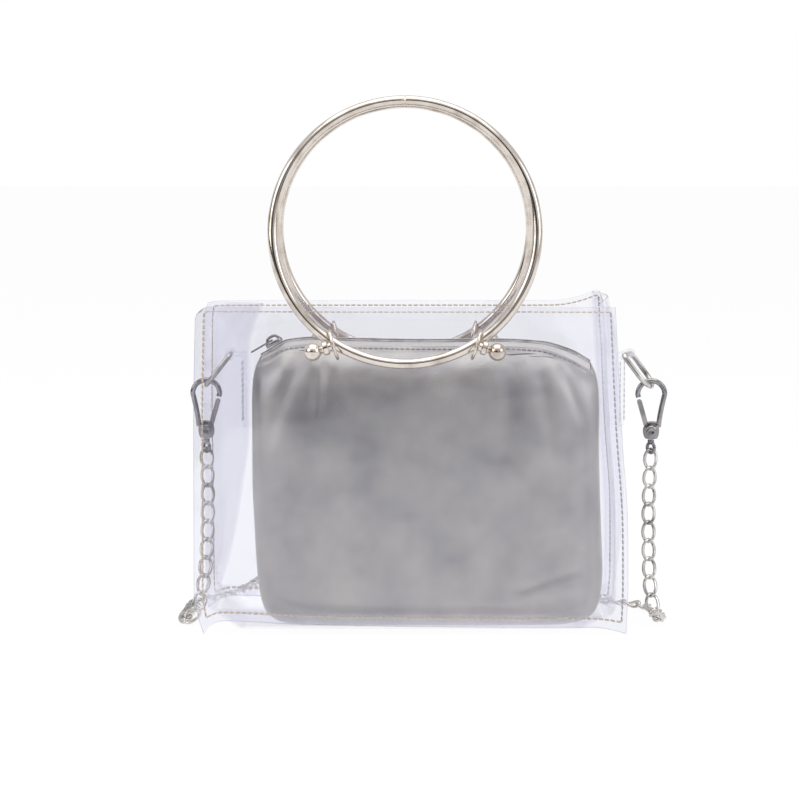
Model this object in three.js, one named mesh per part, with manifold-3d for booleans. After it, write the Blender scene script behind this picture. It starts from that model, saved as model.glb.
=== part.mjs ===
// A clear PVC box handbag with a zipped silver pouch, two metal ring handles and a chain strap on snap hooks.
// Millimetres: x to the right of the front panel, y to the back, z up.
// The origin is the middle of the base, on the floor.
import * as THREE from "three";
import { mergeVertices } from "three/addons/utils/BufferGeometryUtils.js";
import Module from "manifold-3d";

const wasm = await Module();
wasm.setup();

// Clear shell
const panelWidth = 205;
const panelHeight = 156;
const panelRest = 3.7;
const baseDepth = 77;
const rimDepth = 67;
const sheet = 1.0;
const seamAllowance = 5.6;
const cornerRadius = 5;
const panelBelly = 1.2;
const clearance = 0.3;

// Pouch
const pouchWidth = panelWidth - (3 / 7) * baseDepth;
const pouchHeight = panelHeight - 17;
const pouchCentre = 0.14 * baseDepth;
const pouchWall = 1.5;
const pouchFront = baseDepth / 2 - 5.3;
const pouchBack = baseDepth / 2 - 14.5;
const slotMiddle = -8.5;
const slotWidth = 11.6;
const tapeThickness = 1.0;
const teethWidth = 2.4;
const teethHeight = 1.8;
const sliderLength = 9;
const sliderWidth = 7;
const sliderHeight = 1.8;
const bridgeHeight = 2.6;
const bridgeWire = 1.4;
const pullLength = 12.5;
const pullWidth = 4.6;
const pullThickness = 0.8;
const pullSlotStart = -1.2;
const zipReach = 0.86;
const slotReach = 0.93;
const sliderPlace = -0.84;
const sliderTilt = -0.09;

// Ring handles and the screw loops that hold them
const ringRadius = 64.2;
const ringRod = 5;
const ringLean = THREE.MathUtils.degToRad(8.5);
const pivotHeight = panelRest + panelHeight - 17.3;
const pivotReach = rimDepth / 2 + 5.2;
const handleCentre = 0.5;
const loopSpacing = 69;
const loopRadius = 7;
const loopWire = 1.6;
const loopDrop = 0.8;
const loopTilt = THREE.MathUtils.degToRad(17);
const loopHole = 1.4;
const ballRadius = 4.3;
const ballStand = 10.3;
const collarRadius = 3.5;
const collarLength = 2.8;
const collarStand = 1.3;
const screwRadius = 2;

// Strap tabs, D-rings, snap hooks and swivels
const tabWidth = 12;
const tabLength = 36;
const tabHeight = panelRest + panelHeight - 25.3;
const ringWire = 2.5;
const dRingWidth = 16;
const dRingDepth = 20;
const dRingFall = THREE.MathUtils.degToRad(52);
const leftTabArm = 7;
const rightTabArm = 3.6;
const archSlack = 0.4;
const hookWire = 2.6;
const hookWidth = 16;
const hookHeight = 26.2;
const hookBodyWidth = 7.8;
const hookBodyDrop = 4.2;
const hookThickness = 4.6;
const noseHeight = 16.7;
const gateThickness = 1.8;
const gateWidth = 2.4;
const rivetRadius = 1.0;
const rivetHead = 2.6;
const rivetHeadHeight = 0.8;
const stemRadius = 1.6;
const eyeRadius = 2.5;
const eyeWire = 1.7;
const eyeDrop = 8.6;

// Chain
const linkPitch = 9.1;
const linkLength = 11.8;
const linkWidth = 7.3;
const linkWire = 1.6;
const linkTwist = THREE.MathUtils.degToRad(90);
const leftLinks = 10;
const rightLinks = 10;
const hiddenChain = 5;

// Side edges of a panel by height, as shares of half its width.
const panelEdges = [
  { up: 0.0, left: -1.0, right: 1.06 },
  { up: 0.12, left: -1.0, right: 1.067 },
  { up: 0.3, left: -1.0, right: 1.065 },
  { up: 0.63, left: -1.0, right: 1.03 },
  { up: 1.0, left: -0.99, right: 1.0 },
];

// Lower edge of a panel, as shares of the seam allowance above the height that the ears rest at.
const lowerEdge = [
  { across: -1.0, lift: 0.35 },
  { across: -0.88, lift: 0.5 },
  { across: -0.5, lift: 0.18 },
  { across: 0.0, lift: 0.0 },
  { across: 0.6, lift: -0.08 },
  { across: 1.0, lift: -0.06 },
];

// Half depth of the rim across a panel, as shares of half the rim's depth.
const rimLine = [
  { across: -1.0, depth: 0.88 },
  { across: -0.5, depth: 0.98 },
  { across: 0.0, depth: 1.0 },
  { across: 1.0, depth: 1.04 },
];

// Where the handles' rings press the rim in: place and width as shares of half the width.
// Their depth is in millimetres.
const rimPresses = [
  { across: -0.51, wide: 0.2, deep: 0.5 },
  { across: 0.52, wide: 0.2, deep: 1.9 },
];
const pressFall = 6;

// Panel corners that curl or hang: how far the tip moves and how far round it that reaches.
// Both are in seam allowances.
const cornerCurls = [
  { side: -1, across: -1, up: 0, dx: 0.85, dy: 0.0, drop: 1.0, dz: 0.0, reach: 2.6 },
  { side: -1, across: 1, up: 0, dx: 0.0, dy: 0.0, drop: 1.0, dz: 0.0, reach: 3.2 },
  { side: -1, across: -1, up: 1, dx: 0.4, dy: 0.0, drop: 0, dz: -0.45, reach: 1.3 },
  { side: 1, across: -1, up: 0, dx: 0.2, dy: 0.0, drop: 1.0, dz: 0.0, reach: 2.6 },
  { side: 1, across: 1, up: 0, dx: -0.2, dy: 0.0, drop: 1.0, dz: 0.0, reach: 2.6 },
  { side: 1, across: -1, up: 1, dx: 0.3, dy: 0.0, drop: 0, dz: -0.2, reach: 2.0 },
  { side: 1, across: 1, up: 1, dx: -0.1, dy: 0.3, drop: 0, dz: 1.25, reach: 5.0 },
];

// Folds of the gusset by height, as shares of the base's depth.
// The left side goes in and the right side stands out.
const gussetFolds = [
  { up: 0.0, left: 0.0, right: 0.0 },
  { up: 0.2, left: 0.13, right: 0.05 },
  { up: 0.4, left: 0.2, right: 0.07 },
  { up: 0.6, left: 0.25, right: 0.084 },
  { up: 0.86, left: 0.25, right: 0.084 },
  { up: 1.0, left: 0.325, right: 0.05 },
];
const gussetCrest = 0.22;
const gussetSkew = 2;
const baseFlat = 0.6;

// Sections of the pouch by height: ends as shares of half its width, faces as shares of its front and back.
const pouchSections = [
  { up: 0.0, left: -0.82, right: 0.86, front: 0.66, back: 0.5 },
  { up: 0.016, left: -0.88, right: 0.93, front: 0.84, back: 0.78 },
  { up: 0.05, left: -0.93, right: 0.985, front: 0.95, back: 0.93 },
  { up: 0.1, left: -0.955, right: 1.01, front: 0.99, back: 0.99 },
  { up: 0.2, left: -0.975, right: 1.025, front: 1.0, back: 1.0 },
  { up: 0.38, left: -0.99, right: 1.015, front: 1.0, back: 1.0 },
  { up: 0.56, left: -1.0, right: 1.005, front: 0.98, back: 0.93 },
  { up: 0.72, left: -1.0, right: 1.0, front: 0.93, back: 0.78 },
  { up: 0.84, left: -1.0, right: 0.995, front: 0.86, back: 0.55 },
  { up: 0.92, left: -0.985, right: 0.98, front: 0.75, back: 0.3 },
  { up: 0.97, left: -0.96, right: 0.96, front: 0.6, back: 0.05 },
];

// Top line of the pouch along the zip, as shares of the pouch's height.
const zipLine = [
  { across: -1.0, rise: -0.075 },
  { across: -0.93, rise: -0.01 },
  { across: -0.8, rise: 0.012 },
  { across: -0.4, rise: 0.004 },
  { across: 0.0, rise: 0.0 },
  { across: 0.5, rise: 0.008 },
  { across: 0.8, rise: -0.002 },
  { across: 0.93, rise: -0.03 },
  { across: 1.0, rise: -0.1 },
];

// Dents of the pouch's front: place and size as shares of half its width and of its height.
// Their depth is a share of its front.
const pouchDents = [
  { across: -0.6, up: 0.82, wide: 0.15, tall: 0.12, deep: 0.09 },
  { across: 0.56, up: 0.8, wide: 0.14, tall: 0.16, deep: 0.09 },
  { across: 0.1, up: 0.88, wide: 0.35, tall: 0.06, deep: 0.03 },
  { across: 0.72, up: 0.22, wide: 0.12, tall: 0.1, deep: 0.06 },
];

// Places round the pouch from end to end, closer together where it turns.
const pouchStations = [
  -1, -0.98, -0.92, -0.8, -0.7, -0.58, -0.44, -0.15, 0.15, 0.42, 0.54, 0.68, 0.82, 0.93, 0.98, 1,
];
const pouchBlunt = 4.5;
const slotBlunt = 14;

// Where the chain lies, from the left swivel to the right one.
// x is given as the side of the bag and how far out from the panels' edge there.
const chainRoute = [
  { side: -1, out: -4.3, y: -1, z: 62 },
  { side: -1, out: -3.9, y: -4, z: 38 },
  { side: -1, out: -2, y: -10, z: 17 },
  { side: -1, out: 1, y: -16, z: 6.5 },
  { side: -1, out: 5, y: -15, z: 3.2 },
  { side: -1, out: 7.3, y: -7, z: 2.9 },
  { side: -1, out: 6.9, y: 8, z: 2.6 },
  { side: -1, out: 6.5, y: 24, z: 2.6 },
  { side: -1, out: 5.5, y: 40, z: 2.6 },
  { side: -1, out: -1.5, y: 56, z: 2.6 },
  { side: -1, out: -14.5, y: 78, z: 2.6 },
  { side: -1, out: -25.5, y: 125, z: 2.6 },
  { side: -1, out: -26.5, y: 200, z: 2.6 },
  { side: -1, out: -34.5, y: 290, z: 2.6 },
  { side: -1, out: -64.5, y: 342, z: 2.6 },
  { side: 1, out: -90.5, y: 358, z: 2.6 },
  { side: 1, out: -42.5, y: 340, z: 2.6 },
  { side: 1, out: -14.5, y: 285, z: 2.6 },
  { side: 1, out: -8.5, y: 200, z: 2.6 },
  { side: 1, out: -9.5, y: 125, z: 2.6 },
  { side: 1, out: -7.5, y: 80, z: 2.6 },
  { side: 1, out: -0.5, y: 55, z: 2.6 },
  { side: 1, out: 10.5, y: 42.5, z: 2.6 },
  { side: 1, out: 19.5, y: 35, z: 2.6 },
  { side: 1, out: 24, y: 24, z: 2.6 },
  { side: 1, out: 25.8, y: 10, z: 2.6 },
  { side: 1, out: 26, y: -3, z: 2.9 },
  { side: 1, out: 24.5, y: -12, z: 3.2 },
  { side: 1, out: 22, y: -15, z: 6.5 },
  { side: 1, out: 20.5, y: -11, z: 17 },
  { side: 1, out: 19.8, y: -7, z: 38 },
  { side: 1, out: 19.9, y: -5, z: 62 },
];

const finishes = {
  clear: { color: 0xe4e2f0, roughness: 0.12, metalness: 0, transparent: true, opacity: 0.3 },
  silver: { color: 0xb4b2b4, roughness: 0.42, metalness: 0.45 },
  tape: { color: 0xd2d0cf, roughness: 0.7, metalness: 0.1 },
  nickel: { color: 0xd8cdbf, roughness: 0.16, metalness: 1 },
  chrome: { color: 0x8d8b92, roughness: 0.2, metalness: 1 },
  steel: { color: 0xd4d3d2, roughness: 0.22, metalness: 1 },
};

// The value of a table's column at a place, on the straight line between its rows.
function between(table, key, column, at) {
  const last = table.length - 1;
  if (at <= table[0][key]) return table[0][column];
  for (let i = 0; i < last; i++) {
    const low = table[i];
    const high = table[i + 1];
    if (at > high[key]) continue;
    return THREE.MathUtils.mapLinear(at, low[key], high[key], low[column], high[column]);
  }
  return table[last][column];
}

// A geometry from points and faces given by their numbers.
function faced(points, faces) {
  const geometry = new THREE.BufferGeometry();
  const numbers = points.flatMap((p) => [p.x, p.y, p.z]);
  geometry.setAttribute("position", new THREE.Float32BufferAttribute(numbers, 3));
  geometry.setIndex(faces);
  return geometry;
}

// A sheet of one thickness about a middle surface, which is a grid of rows of points.
function thickSheet(rows, thickness) {
  const across = rows[0].length;
  const count = rows.length * across;
  const at = (i, j) => i * across + j;
  const middle = faced(rows.flat(), []);
  const quads = [];
  for (let i = 0; i + 1 < rows.length; i++)
    for (let j = 0; j + 1 < across; j++)
      quads.push([at(i, j), at(i, j + 1), at(i + 1, j + 1), at(i + 1, j)]);
  const faces = quads.flatMap(([a, b, c, d]) => [a, b, c, a, c, d]);
  middle.setIndex([...faces]);
  middle.computeVertexNormals();
  const normals = middle.getAttribute("normal");
  const points = [];
  for (const side of [1, -1])
    rows.flat().forEach((p, k) => {
      const normal = new THREE.Vector3().fromBufferAttribute(normals, k);
      points.push(p.clone().addScaledVector(normal, (side * thickness) / 2));
    });
  faces.push(...quads.flatMap(([a, b, c, d]) => [a, c, b, a, d, c].map((k) => k + count)));
  const rim = [];
  for (let j = 0; j < across; j++) rim.push(at(0, j));
  for (let i = 1; i < rows.length; i++) rim.push(at(i, across - 1));
  for (let j = across - 2; j >= 0; j--) rim.push(at(rows.length - 1, j));
  for (let i = rows.length - 2; i > 0; i--) rim.push(at(i, 0));
  rim.forEach((a, k) => {
    const b = rim[(k + 1) % rim.length];
    faces.push(b, a, a + count, b, a + count, b + count);
  });
  return faced(points, faces);
}

// A closed skin over rings of points, with a fan over the first and the last ring.
function skinned(rings, closeStart, closeEnd) {
  const around = rings[0].length;
  const points = rings.flat();
  const faces = [];
  for (let i = 0; i + 1 < rings.length; i++)
    for (let j = 0; j < around; j++) {
      const next = (j + 1) % around;
      const [a, b, c, d] = [j, next, next + around, j + around].map((k) => i * around + k);
      faces.push(a, b, c, a, c, d);
    }
  const last = (rings.length - 1) * around;
  const middle = points.length;
  points.push(closeStart, closeEnd);
  for (let j = 0; j < around; j++) {
    const next = (j + 1) % around;
    faces.push(middle, next, j, middle + 1, last + j, last + next);
  }
  return faced(points, faces);
}

// A closed geometry as a solid that can be joined and cut.
function solidOf(geometry) {
  const bare = geometry.clone();
  for (const name of ["normal", "uv"]) bare.deleteAttribute(name);
  const merged = mergeVertices(bare, 1e-3);
  return new wasm.Manifold(
    new wasm.Mesh({
      numProp: 3,
      vertProperties: merged.getAttribute("position").array,
      triVerts: new Uint32Array(merged.index.array),
    }),
  );
}

// A solid back as a geometry.
function geometryOf(solid) {
  const mesh = solid.getMesh();
  const geometry = new THREE.BufferGeometry();
  const numbers = new Float32Array(mesh.vertProperties);
  geometry.setAttribute("position", new THREE.BufferAttribute(numbers, mesh.numProp));
  geometry.setIndex([...mesh.triVerts]);
  return geometry;
}

const joined = (pieces) => geometryOf(pieces.map(solidOf).reduce((whole, piece) => whole.add(piece)));
const cut = (piece, tools) =>
  geometryOf(tools.map(solidOf).reduce((whole, tool) => whole.subtract(tool), solidOf(piece)));

// A round rod along a curve, closed at both ends.
function rodAlong(curve, radius, sides, steps) {
  const section = new THREE.Shape();
  for (let i = 0; i < sides; i++) {
    const turn = (2 * Math.PI * i) / sides;
    section[i ? "lineTo" : "moveTo"](radius * Math.cos(turn), radius * Math.sin(turn));
  }
  return new THREE.ExtrudeGeometry(section, { steps, extrudePath: curve, bevelEnabled: false });
}

const smooth = (points, closed = false) =>
  new THREE.CatmullRomCurve3(
    points.map((p) => new THREE.Vector3(...p)),
    closed,
    "centripetal",
  );

// A point of a panel's middle surface: side is -1 for the front and 1 for the back, across and up are shares.
function panelPoint(side, across, up) {
  const edges = [between(panelEdges, "up", "left", up), between(panelEdges, "up", "right", up)];
  const half = panelWidth / 2;
  const rest = panelRest + seamAllowance * between(lowerEdge, "across", "lift", across);
  const rim = (rimDepth / 2) * between(rimLine, "across", "depth", across);
  const belly = panelBelly * Math.sin(Math.PI * up) * Math.cos((Math.PI / 2) * across);
  const press = rimPresses.reduce((sum, dent) => {
    const away = (across - dent.across) / dent.wide;
    return sum + dent.deep * Math.max(0, 1 - away * away) * up ** pressFall;
  }, 0);
  const point = new THREE.Vector3(
    half * THREE.MathUtils.mapLinear(across, -1, 1, edges[0], edges[1]),
    side * (THREE.MathUtils.lerp(baseDepth / 2, rim, up) + belly - press),
    THREE.MathUtils.lerp(rest, panelRest + panelHeight, up),
  );
  for (const curl of cornerCurls) {
    if (curl.side !== side) continue;
    const away = Math.hypot((across - curl.across) * half, (up - curl.up) * panelHeight);
    const weight = Math.max(0, 1 - away / (curl.reach * seamAllowance)) ** 2;
    point.x += weight * curl.dx * seamAllowance;
    point.y += side * weight * curl.dy * seamAllowance;
    point.z += weight * (curl.dz * seamAllowance - curl.drop * rest);
  }
  return point;
}

const insetAcross = seamAllowance / (panelWidth / 2);
const insetUp = seamAllowance / panelHeight;
const seamAcross = 1 - insetAcross;

// Front or back panel, with a hole where each screw loop goes through it.
function panel(side) {
  const half = [seamAcross, (1 + seamAcross) / 2, 1];
  const inner = [-0.82, -0.6, -0.48, -0.3, 0.3, 0.48, 0.6, 0.82];
  const columns = [...half.map((across) => -across).reverse(), ...inner, ...half];
  const rows = [0, insetUp / 2, insetUp, 0.11, 0.45, 0.8, 0.92, 0.965, 1];
  const grid = rows.map((up) => columns.map((across) => panelPoint(side, across, up)));
  if (side < 0) grid.forEach((row) => row.reverse());
  const holes = [-1, 1].map((hand) => {
    const hole = new THREE.TorusGeometry(loopRadius, loopHole, 5, 12).rotateY(Math.PI / 2);
    return hole.applyMatrix4(loopFrame(side, hand).matrixWorld);
  });
  return cut(thickSheet(grid, sheet), holes);
}

// Stations of the seam from the top left corner down, along the base and up.
// Each has its edge and stitch points.
function seamStations() {
  const turnAcross = cornerRadius / (panelWidth / 2);
  const turnUp = cornerRadius / panelHeight;
  const left = [1, 0.93, 0.86, 0.6, 0.4, 0.2, insetUp + turnUp].map((up) => ({
    edge: [-1, up],
    stitch: [-seamAcross, up],
    part: "left",
    up,
  }));
  const diagonal = Math.SQRT1_2;
  const corner = {
    edge: [-1, 0],
    stitch: [-seamAcross + turnAcross * (1 - diagonal), insetUp + turnUp * (1 - diagonal)],
    part: "corner",
    up: insetUp,
  };
  const base = [-seamAcross + turnAcross, -0.8, -0.4, 0, 0.4, 0.8, seamAcross - turnAcross].map((across) => ({
    edge: [across, 0],
    stitch: [across, insetUp],
    part: "base",
    across,
  }));
  const mirrored = ({ edge, stitch, part, up }) => ({
    edge: [-edge[0], edge[1]],
    stitch: [-stitch[0], stitch[1]],
    part: part === "left" ? "right" : part,
    up,
  });
  return [...left, corner, ...base, mirrored(corner), ...left.map(mirrored).reverse()];
}

// The gusset: one strip for the left side, the base and the right side, with its seam allowances turned out.
function gusset() {
  const inward = sheet + clearance;
  const crossings = [-1, -0.9, -0.78, -baseFlat, -gussetCrest, gussetCrest, baseFlat, 0.78, 0.9, 1];
  const rows = seamStations().map((station) => {
    const seam = (side, [across, up]) => {
      const point = panelPoint(side, across, up);
      point.y -= side * inward;
      return point;
    };
    const front = seam(-1, station.stitch);
    const back = seam(1, station.stitch);
    const row = crossings.map((w) => foldedPoint(station, front.clone().lerp(back, (w + 1) / 2), w));
    return [seam(-1, station.edge), ...row, seam(1, station.edge)];
  });
  return thickSheet(rows, sheet);
}

// A point of the gusset between its seams, moved by the fold, the bulge or the sag of its stretch.
function foldedPoint(station, point, w) {
  if (station.part === "left") {
    const depth = baseDepth * between(gussetFolds, "up", "left", station.up);
    point.x += depth * Math.min(1, (1 - Math.abs(w)) / (1 - gussetCrest));
  }
  if (station.part === "right") {
    const depth = baseDepth * between(gussetFolds, "up", "right", station.up);
    point.x += depth * (1 - w * w) * (1 + gussetSkew * w);
  }
  if (station.part === "base") {
    const edge = Math.max(0, (Math.abs(w) - baseFlat) / (1 - baseFlat)) ** 2;
    const end = THREE.MathUtils.clamp((seamAcross - Math.abs(station.across)) / (seamAcross - 0.8), 0, 1);
    point.z = THREE.MathUtils.lerp(point.z, sheet / 2, (1 - edge) * end);
  }
  return point;
}

// Height of the zip line over the pouch at a share of half its width.
const pouchFloor = sheet + clearance;
const zipHeight = (across) => pouchFloor + pouchHeight * (1 + between(zipLine, "across", "rise", across));

// A ring of points round the pouch at a share of its height; inner rings lie a wall inside the outer ones.
function pouchRing(section, shrink) {
  const half = pouchWidth / 2;
  const ends = [half * section.left + shrink, half * section.right - shrink];
  const front = -(section.frontAt ?? pouchFront * section.front) + shrink;
  const back = (section.backAt ?? pouchBack * section.back) - shrink;
  const middle = (front + back) / 2;
  const blunt = section.blunt ?? pouchBlunt;
  const place = (share, side) => {
    const across = THREE.MathUtils.mapLinear(share, -1, 1, ends[0], ends[1]) / half;
    const y = middle + (side * (back - front) * (1 - Math.abs(share) ** blunt) ** (1 / blunt)) / 2;
    const z = pouchFloor + (zipHeight(across) - pouchFloor) * section.up;
    const forward = Math.max(0, middle - y) / (middle - front);
    const dent = pouchFront * pouchDent(across, section.up) * forward;
    return new THREE.Vector3(pouchCentre + half * across, y + dent, z);
  };
  const ring = pouchStations.map((share) => place(share, -1));
  ring.push(...pouchStations.slice(1, -1).reverse().map((share) => place(share, 1)));
  return ring;
}

// Depth of the pouch's dents at a place, as a share of its front.
function pouchDent(across, up) {
  return pouchDents.reduce((sum, dent) => {
    const away = Math.hypot((across - dent.across) / dent.wide, (up - dent.up) / dent.tall);
    return sum + dent.deep * Math.max(0, 1 - away * away) ** 2;
  }, 0);
}

// The pouch: a hollow body with the slot of its zip open along the top.
function pouchBody() {
  const slot = {
    up: 1,
    left: -slotReach,
    right: slotReach,
    frontAt: -(slotMiddle - slotWidth / 2),
    backAt: slotMiddle + slotWidth / 2,
    blunt: slotBlunt,
  };
  const outer = [...pouchSections.map((section) => pouchRing(section, 0)), pouchRing(slot, 0)];
  const innerSections = pouchSections.filter((section, i) => i % 2 || section.up > 0.8);
  const inner = innerSections.map((section) => pouchRing(section, pouchWall));
  inner[0].forEach((point) => {
    point.z = pouchFloor + pouchWall;
  });
  const lip = pouchRing(slot, 0);
  lip.forEach((point) => {
    point.z -= pouchWall;
  });
  const middle = new THREE.Vector3(pouchCentre, 0, pouchFloor);
  const rings = [...outer, lip, ...inner.reverse()];
  return skinned(rings, middle, middle.clone().setZ(pouchFloor + pouchWall));
}

// A strip along the zip line between two depths and two heights over the slot's level.
function zipStrip(near, far, below, above) {
  const rings = [];
  const steps = 13;
  for (let i = 0; i <= steps; i++) {
    const across = THREE.MathUtils.mapLinear(i, 0, steps, -zipReach, zipReach);
    const x = pouchCentre + (pouchWidth / 2) * across;
    const z = zipHeight(across);
    rings.push([
      new THREE.Vector3(x, far, z + below),
      new THREE.Vector3(x, far, z + above),
      new THREE.Vector3(x, near, z + above),
      new THREE.Vector3(x, near, z + below),
    ]);
  }
  const centre = (ring) => ring[0].clone().lerp(ring[2], 0.5);
  return skinned(rings, centre(rings[0]), centre(rings.at(-1)));
}

// The slider with its arched bridge, built flat about its own middle.
function zipSlider() {
  const body = new THREE.BoxGeometry(sliderLength, sliderWidth, sliderHeight);
  const foot = sliderHeight / 2 - 0.2;
  const arch = smooth([
    [-sliderLength * 0.4, 0, foot],
    [-sliderLength * 0.33, 0, foot + bridgeHeight * 0.8],
    [0, 0, foot + bridgeHeight],
    [sliderLength * 0.33, 0, foot + bridgeHeight * 0.8],
    [sliderLength * 0.4, 0, foot],
  ]);
  return joined([body, rodAlong(arch, bridgeWire / 2, 6, 8)]);
}

// The slider's pull, a flat tongue whose end bar lies under the bridge and whose slot goes over its foot.
function zipPull() {
  const half = pullWidth / 2;
  const outline = new THREE.Shape();
  outline.moveTo(0, -half);
  outline.lineTo(0, half);
  outline.lineTo(half - pullLength, half);
  outline.absarc(half - pullLength, 0, half, Math.PI / 2, Math.PI * 1.5);
  const slot = new THREE.Path();
  const near = pullSlotStart;
  const far = -sliderLength * 0.4 - bridgeWire - pullThickness;
  const side = bridgeWire / 2 + clearance;
  slot.moveTo(near, -side);
  slot.lineTo(far, -side);
  slot.lineTo(far, side);
  slot.lineTo(near, side);
  outline.holes.push(slot);
  const settings = { depth: pullThickness, bevelEnabled: false, curveSegments: 4 };
  return new THREE.ExtrudeGeometry(outline, settings).translate(0, 0, sliderHeight / 2 + clearance);
}

// Where a screw loop stands: side -1 is the front, hand -1 the left.
function loopFrame(side, hand) {
  const frame = new THREE.Group();
  frame.position.set(handleCentre + (hand * loopSpacing) / 2, side * pivotReach, pivotHeight - loopDrop);
  frame.rotation.y = hand * loopTilt;
  frame.updateMatrixWorld(true);
  return frame;
}

// A screw loop about its own middle, in the yz plane.
const screwLoop = () => new THREE.TorusGeometry(loopRadius, loopWire / 2, 5, 12).rotateY(Math.PI / 2);

// A ball-ended screw along its own z axis, from the loop's wire outwards.
function ballScrew() {
  const foot = loopWire / 2 + clearance;
  const collarFoot = foot + collarStand;
  const neck = ballStand - ballRadius * 0.94;
  const profile = [
    [0, foot],
    [screwRadius, foot],
    [screwRadius, collarFoot],
    [collarRadius, collarFoot],
    [collarRadius, collarFoot + collarLength],
    [screwRadius, collarFoot + collarLength],
    [screwRadius * 0.75, neck],
  ];
  for (const turn of [-45, -15, 15, 45, 72]) {
    const angle = THREE.MathUtils.degToRad(turn);
    profile.push([ballRadius * Math.cos(angle), ballStand + ballRadius * Math.sin(angle)]);
  }
  profile.push([0, ballStand + ballRadius]);
  return new THREE.LatheGeometry(
    profile.map(([r, z]) => new THREE.Vector2(r, z)),
    8,
  ).rotateX(Math.PI / 2);
}

// A ring handle in its own plane, with the axis that it swings on through the origin.
function ringHandle() {
  const rise = Math.sqrt(ringRadius ** 2 - (loopSpacing / 2) ** 2);
  return new THREE.TorusGeometry(ringRadius, ringRod / 2, 8, 32).rotateX(Math.PI / 2).translate(0, 0, rise);
}

// A strap tab: a doubled strip that is sewn down and ends in an arm with a loop for the D-ring's bar.
const tabHole = ringWire / 2 + clearance + 0.2;
function strapTab(arm) {
  const loop = tabHole + sheet;
  const start = Math.asin(sheet / loop);
  const outline = new THREE.Shape();
  const middle = sheet + arm;
  outline.moveTo(0, -tabLength);
  outline.lineTo(2 * sheet, -tabLength);
  outline.lineTo(2 * sheet, -sheet);
  outline.lineTo(middle - loop * Math.cos(start), -sheet);
  outline.absarc(middle, 0, loop, Math.PI + start, 3 * Math.PI - start);
  outline.lineTo(0, sheet);
  const hole = new THREE.Path();
  hole.absarc(middle, 0, tabHole, 0, 2 * Math.PI, true);
  outline.holes.push(hole);
  return new THREE.ExtrudeGeometry(outline, { depth: tabWidth, bevelEnabled: false, curveSegments: 4 })
    .translate(0, 0, -tabWidth / 2)
    .rotateX(Math.PI / 2);
}

// A D-ring with its bar along y through the origin and its bow out along x.
function dRing() {
  const half = dRingWidth / 2;
  const leg = dRingDepth - half;
  const bow = [-60, -30, 0, 30, 60].map((turn) => {
    const angle = THREE.MathUtils.degToRad(turn);
    return [leg + half * Math.cos(angle), half * Math.sin(angle), 0];
  });
  const path = smooth(
    [[0, -half + 1.5, 0], [1.5, -half, 0], [leg, -half, 0], ...bow, [leg, half, 0], [1.5, half, 0]].concat([
      [0, half - 1.5, 0],
      [0, 3.5, 0],
      [0, -3.5, 0],
    ]),
    true,
  );
  return new THREE.TubeGeometry(path, 17, ringWire / 2, 6, true);
}

// A snap hook about its rivet, in the xz plane, with its gate on the side of negative x.
function snapHook() {
  const half = (hookWidth - hookWire) / 2;
  const top = hookHeight - hookWidth / 2;
  const arc = [0, 30, 60, 90, 120, 150, 180].map((turn) => {
    const angle = THREE.MathUtils.degToRad(turn);
    return [half * Math.cos(angle), 0, top + half * Math.sin(angle)];
  });
  const frame = smooth([
    [hookBodyWidth / 2 - 0.2, 0, 1.8],
    [half * 0.76, 0, top * 0.5],
    ...arc,
    [-half * 0.95, 0, noseHeight],
  ]);
  const body = new THREE.LatheGeometry(
    [
      [0, -hookBodyDrop],
      [hookBodyWidth * 0.36, -hookBodyDrop],
      [hookBodyWidth * 0.5, -hookBodyDrop * 0.5],
      [hookBodyWidth * 0.52, 2.2],
      [hookBodyWidth * 0.4, 4.4],
      [0, 4.8],
    ].map(([r, z]) => new THREE.Vector2(r, z)),
    8,
  )
    .rotateX(Math.PI / 2)
    .scale(1, hookThickness / hookBodyWidth, 1);
  const reach = hookBodyWidth;
  const slot = new THREE.BoxGeometry(reach * 2, gateThickness + 2 * clearance, reach * 2);
  slot.translate(rivetHead + clearance - reach, 0, reach - rivetHead - clearance);
  const rivet = new THREE.CylinderGeometry(rivetRadius, rivetRadius, hookThickness, 6);
  const head = new THREE.CylinderGeometry(rivetHead, rivetHead, rivetHeadHeight, 8);
  const heads = [-1, 1].map((side) => head.clone().translate(0, (side * hookThickness) / 2, 0));
  const cheeks = cut(body, [slot]);
  return joined([cheeks, rodAlong(frame, hookWire / 2, 6, 12), rivet, ...heads]);
}

// The hook's gate about its rivet: a lever from the rivet to just under the nose.
function hookGate() {
  const half = (hookWidth - hookWire) / 2;
  const tip = new THREE.Vector2(-half * 0.93, noseHeight - clearance - 0.7);
  const shoulder = new THREE.Vector2(-hookBodyWidth * 0.34, 3.2);
  const along = tip.clone().sub(shoulder).normalize();
  const side = new THREE.Vector2(-along.y, along.x).multiplyScalar(gateWidth / 2);
  const outline = new THREE.Shape();
  const root = rivetHead * 0.85;
  outline.absarc(0, 0, root, Math.PI * 1.05, Math.PI * 2.3);
  const near = [shoulder, tip].map((point) => point.clone().sub(side));
  const far = [tip, shoulder].map((point) => point.clone().add(side));
  [...near, ...far].forEach((corner) => outline.lineTo(corner.x, corner.y));
  const hole = new THREE.Path();
  hole.absarc(0, 0, rivetRadius + clearance, 0, 2 * Math.PI, true);
  outline.holes.push(hole);
  return new THREE.ExtrudeGeometry(outline, { depth: gateThickness, bevelEnabled: false, curveSegments: 3 })
    .translate(0, 0, -gateThickness / 2)
    .rotateX(Math.PI / 2);
}

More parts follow.
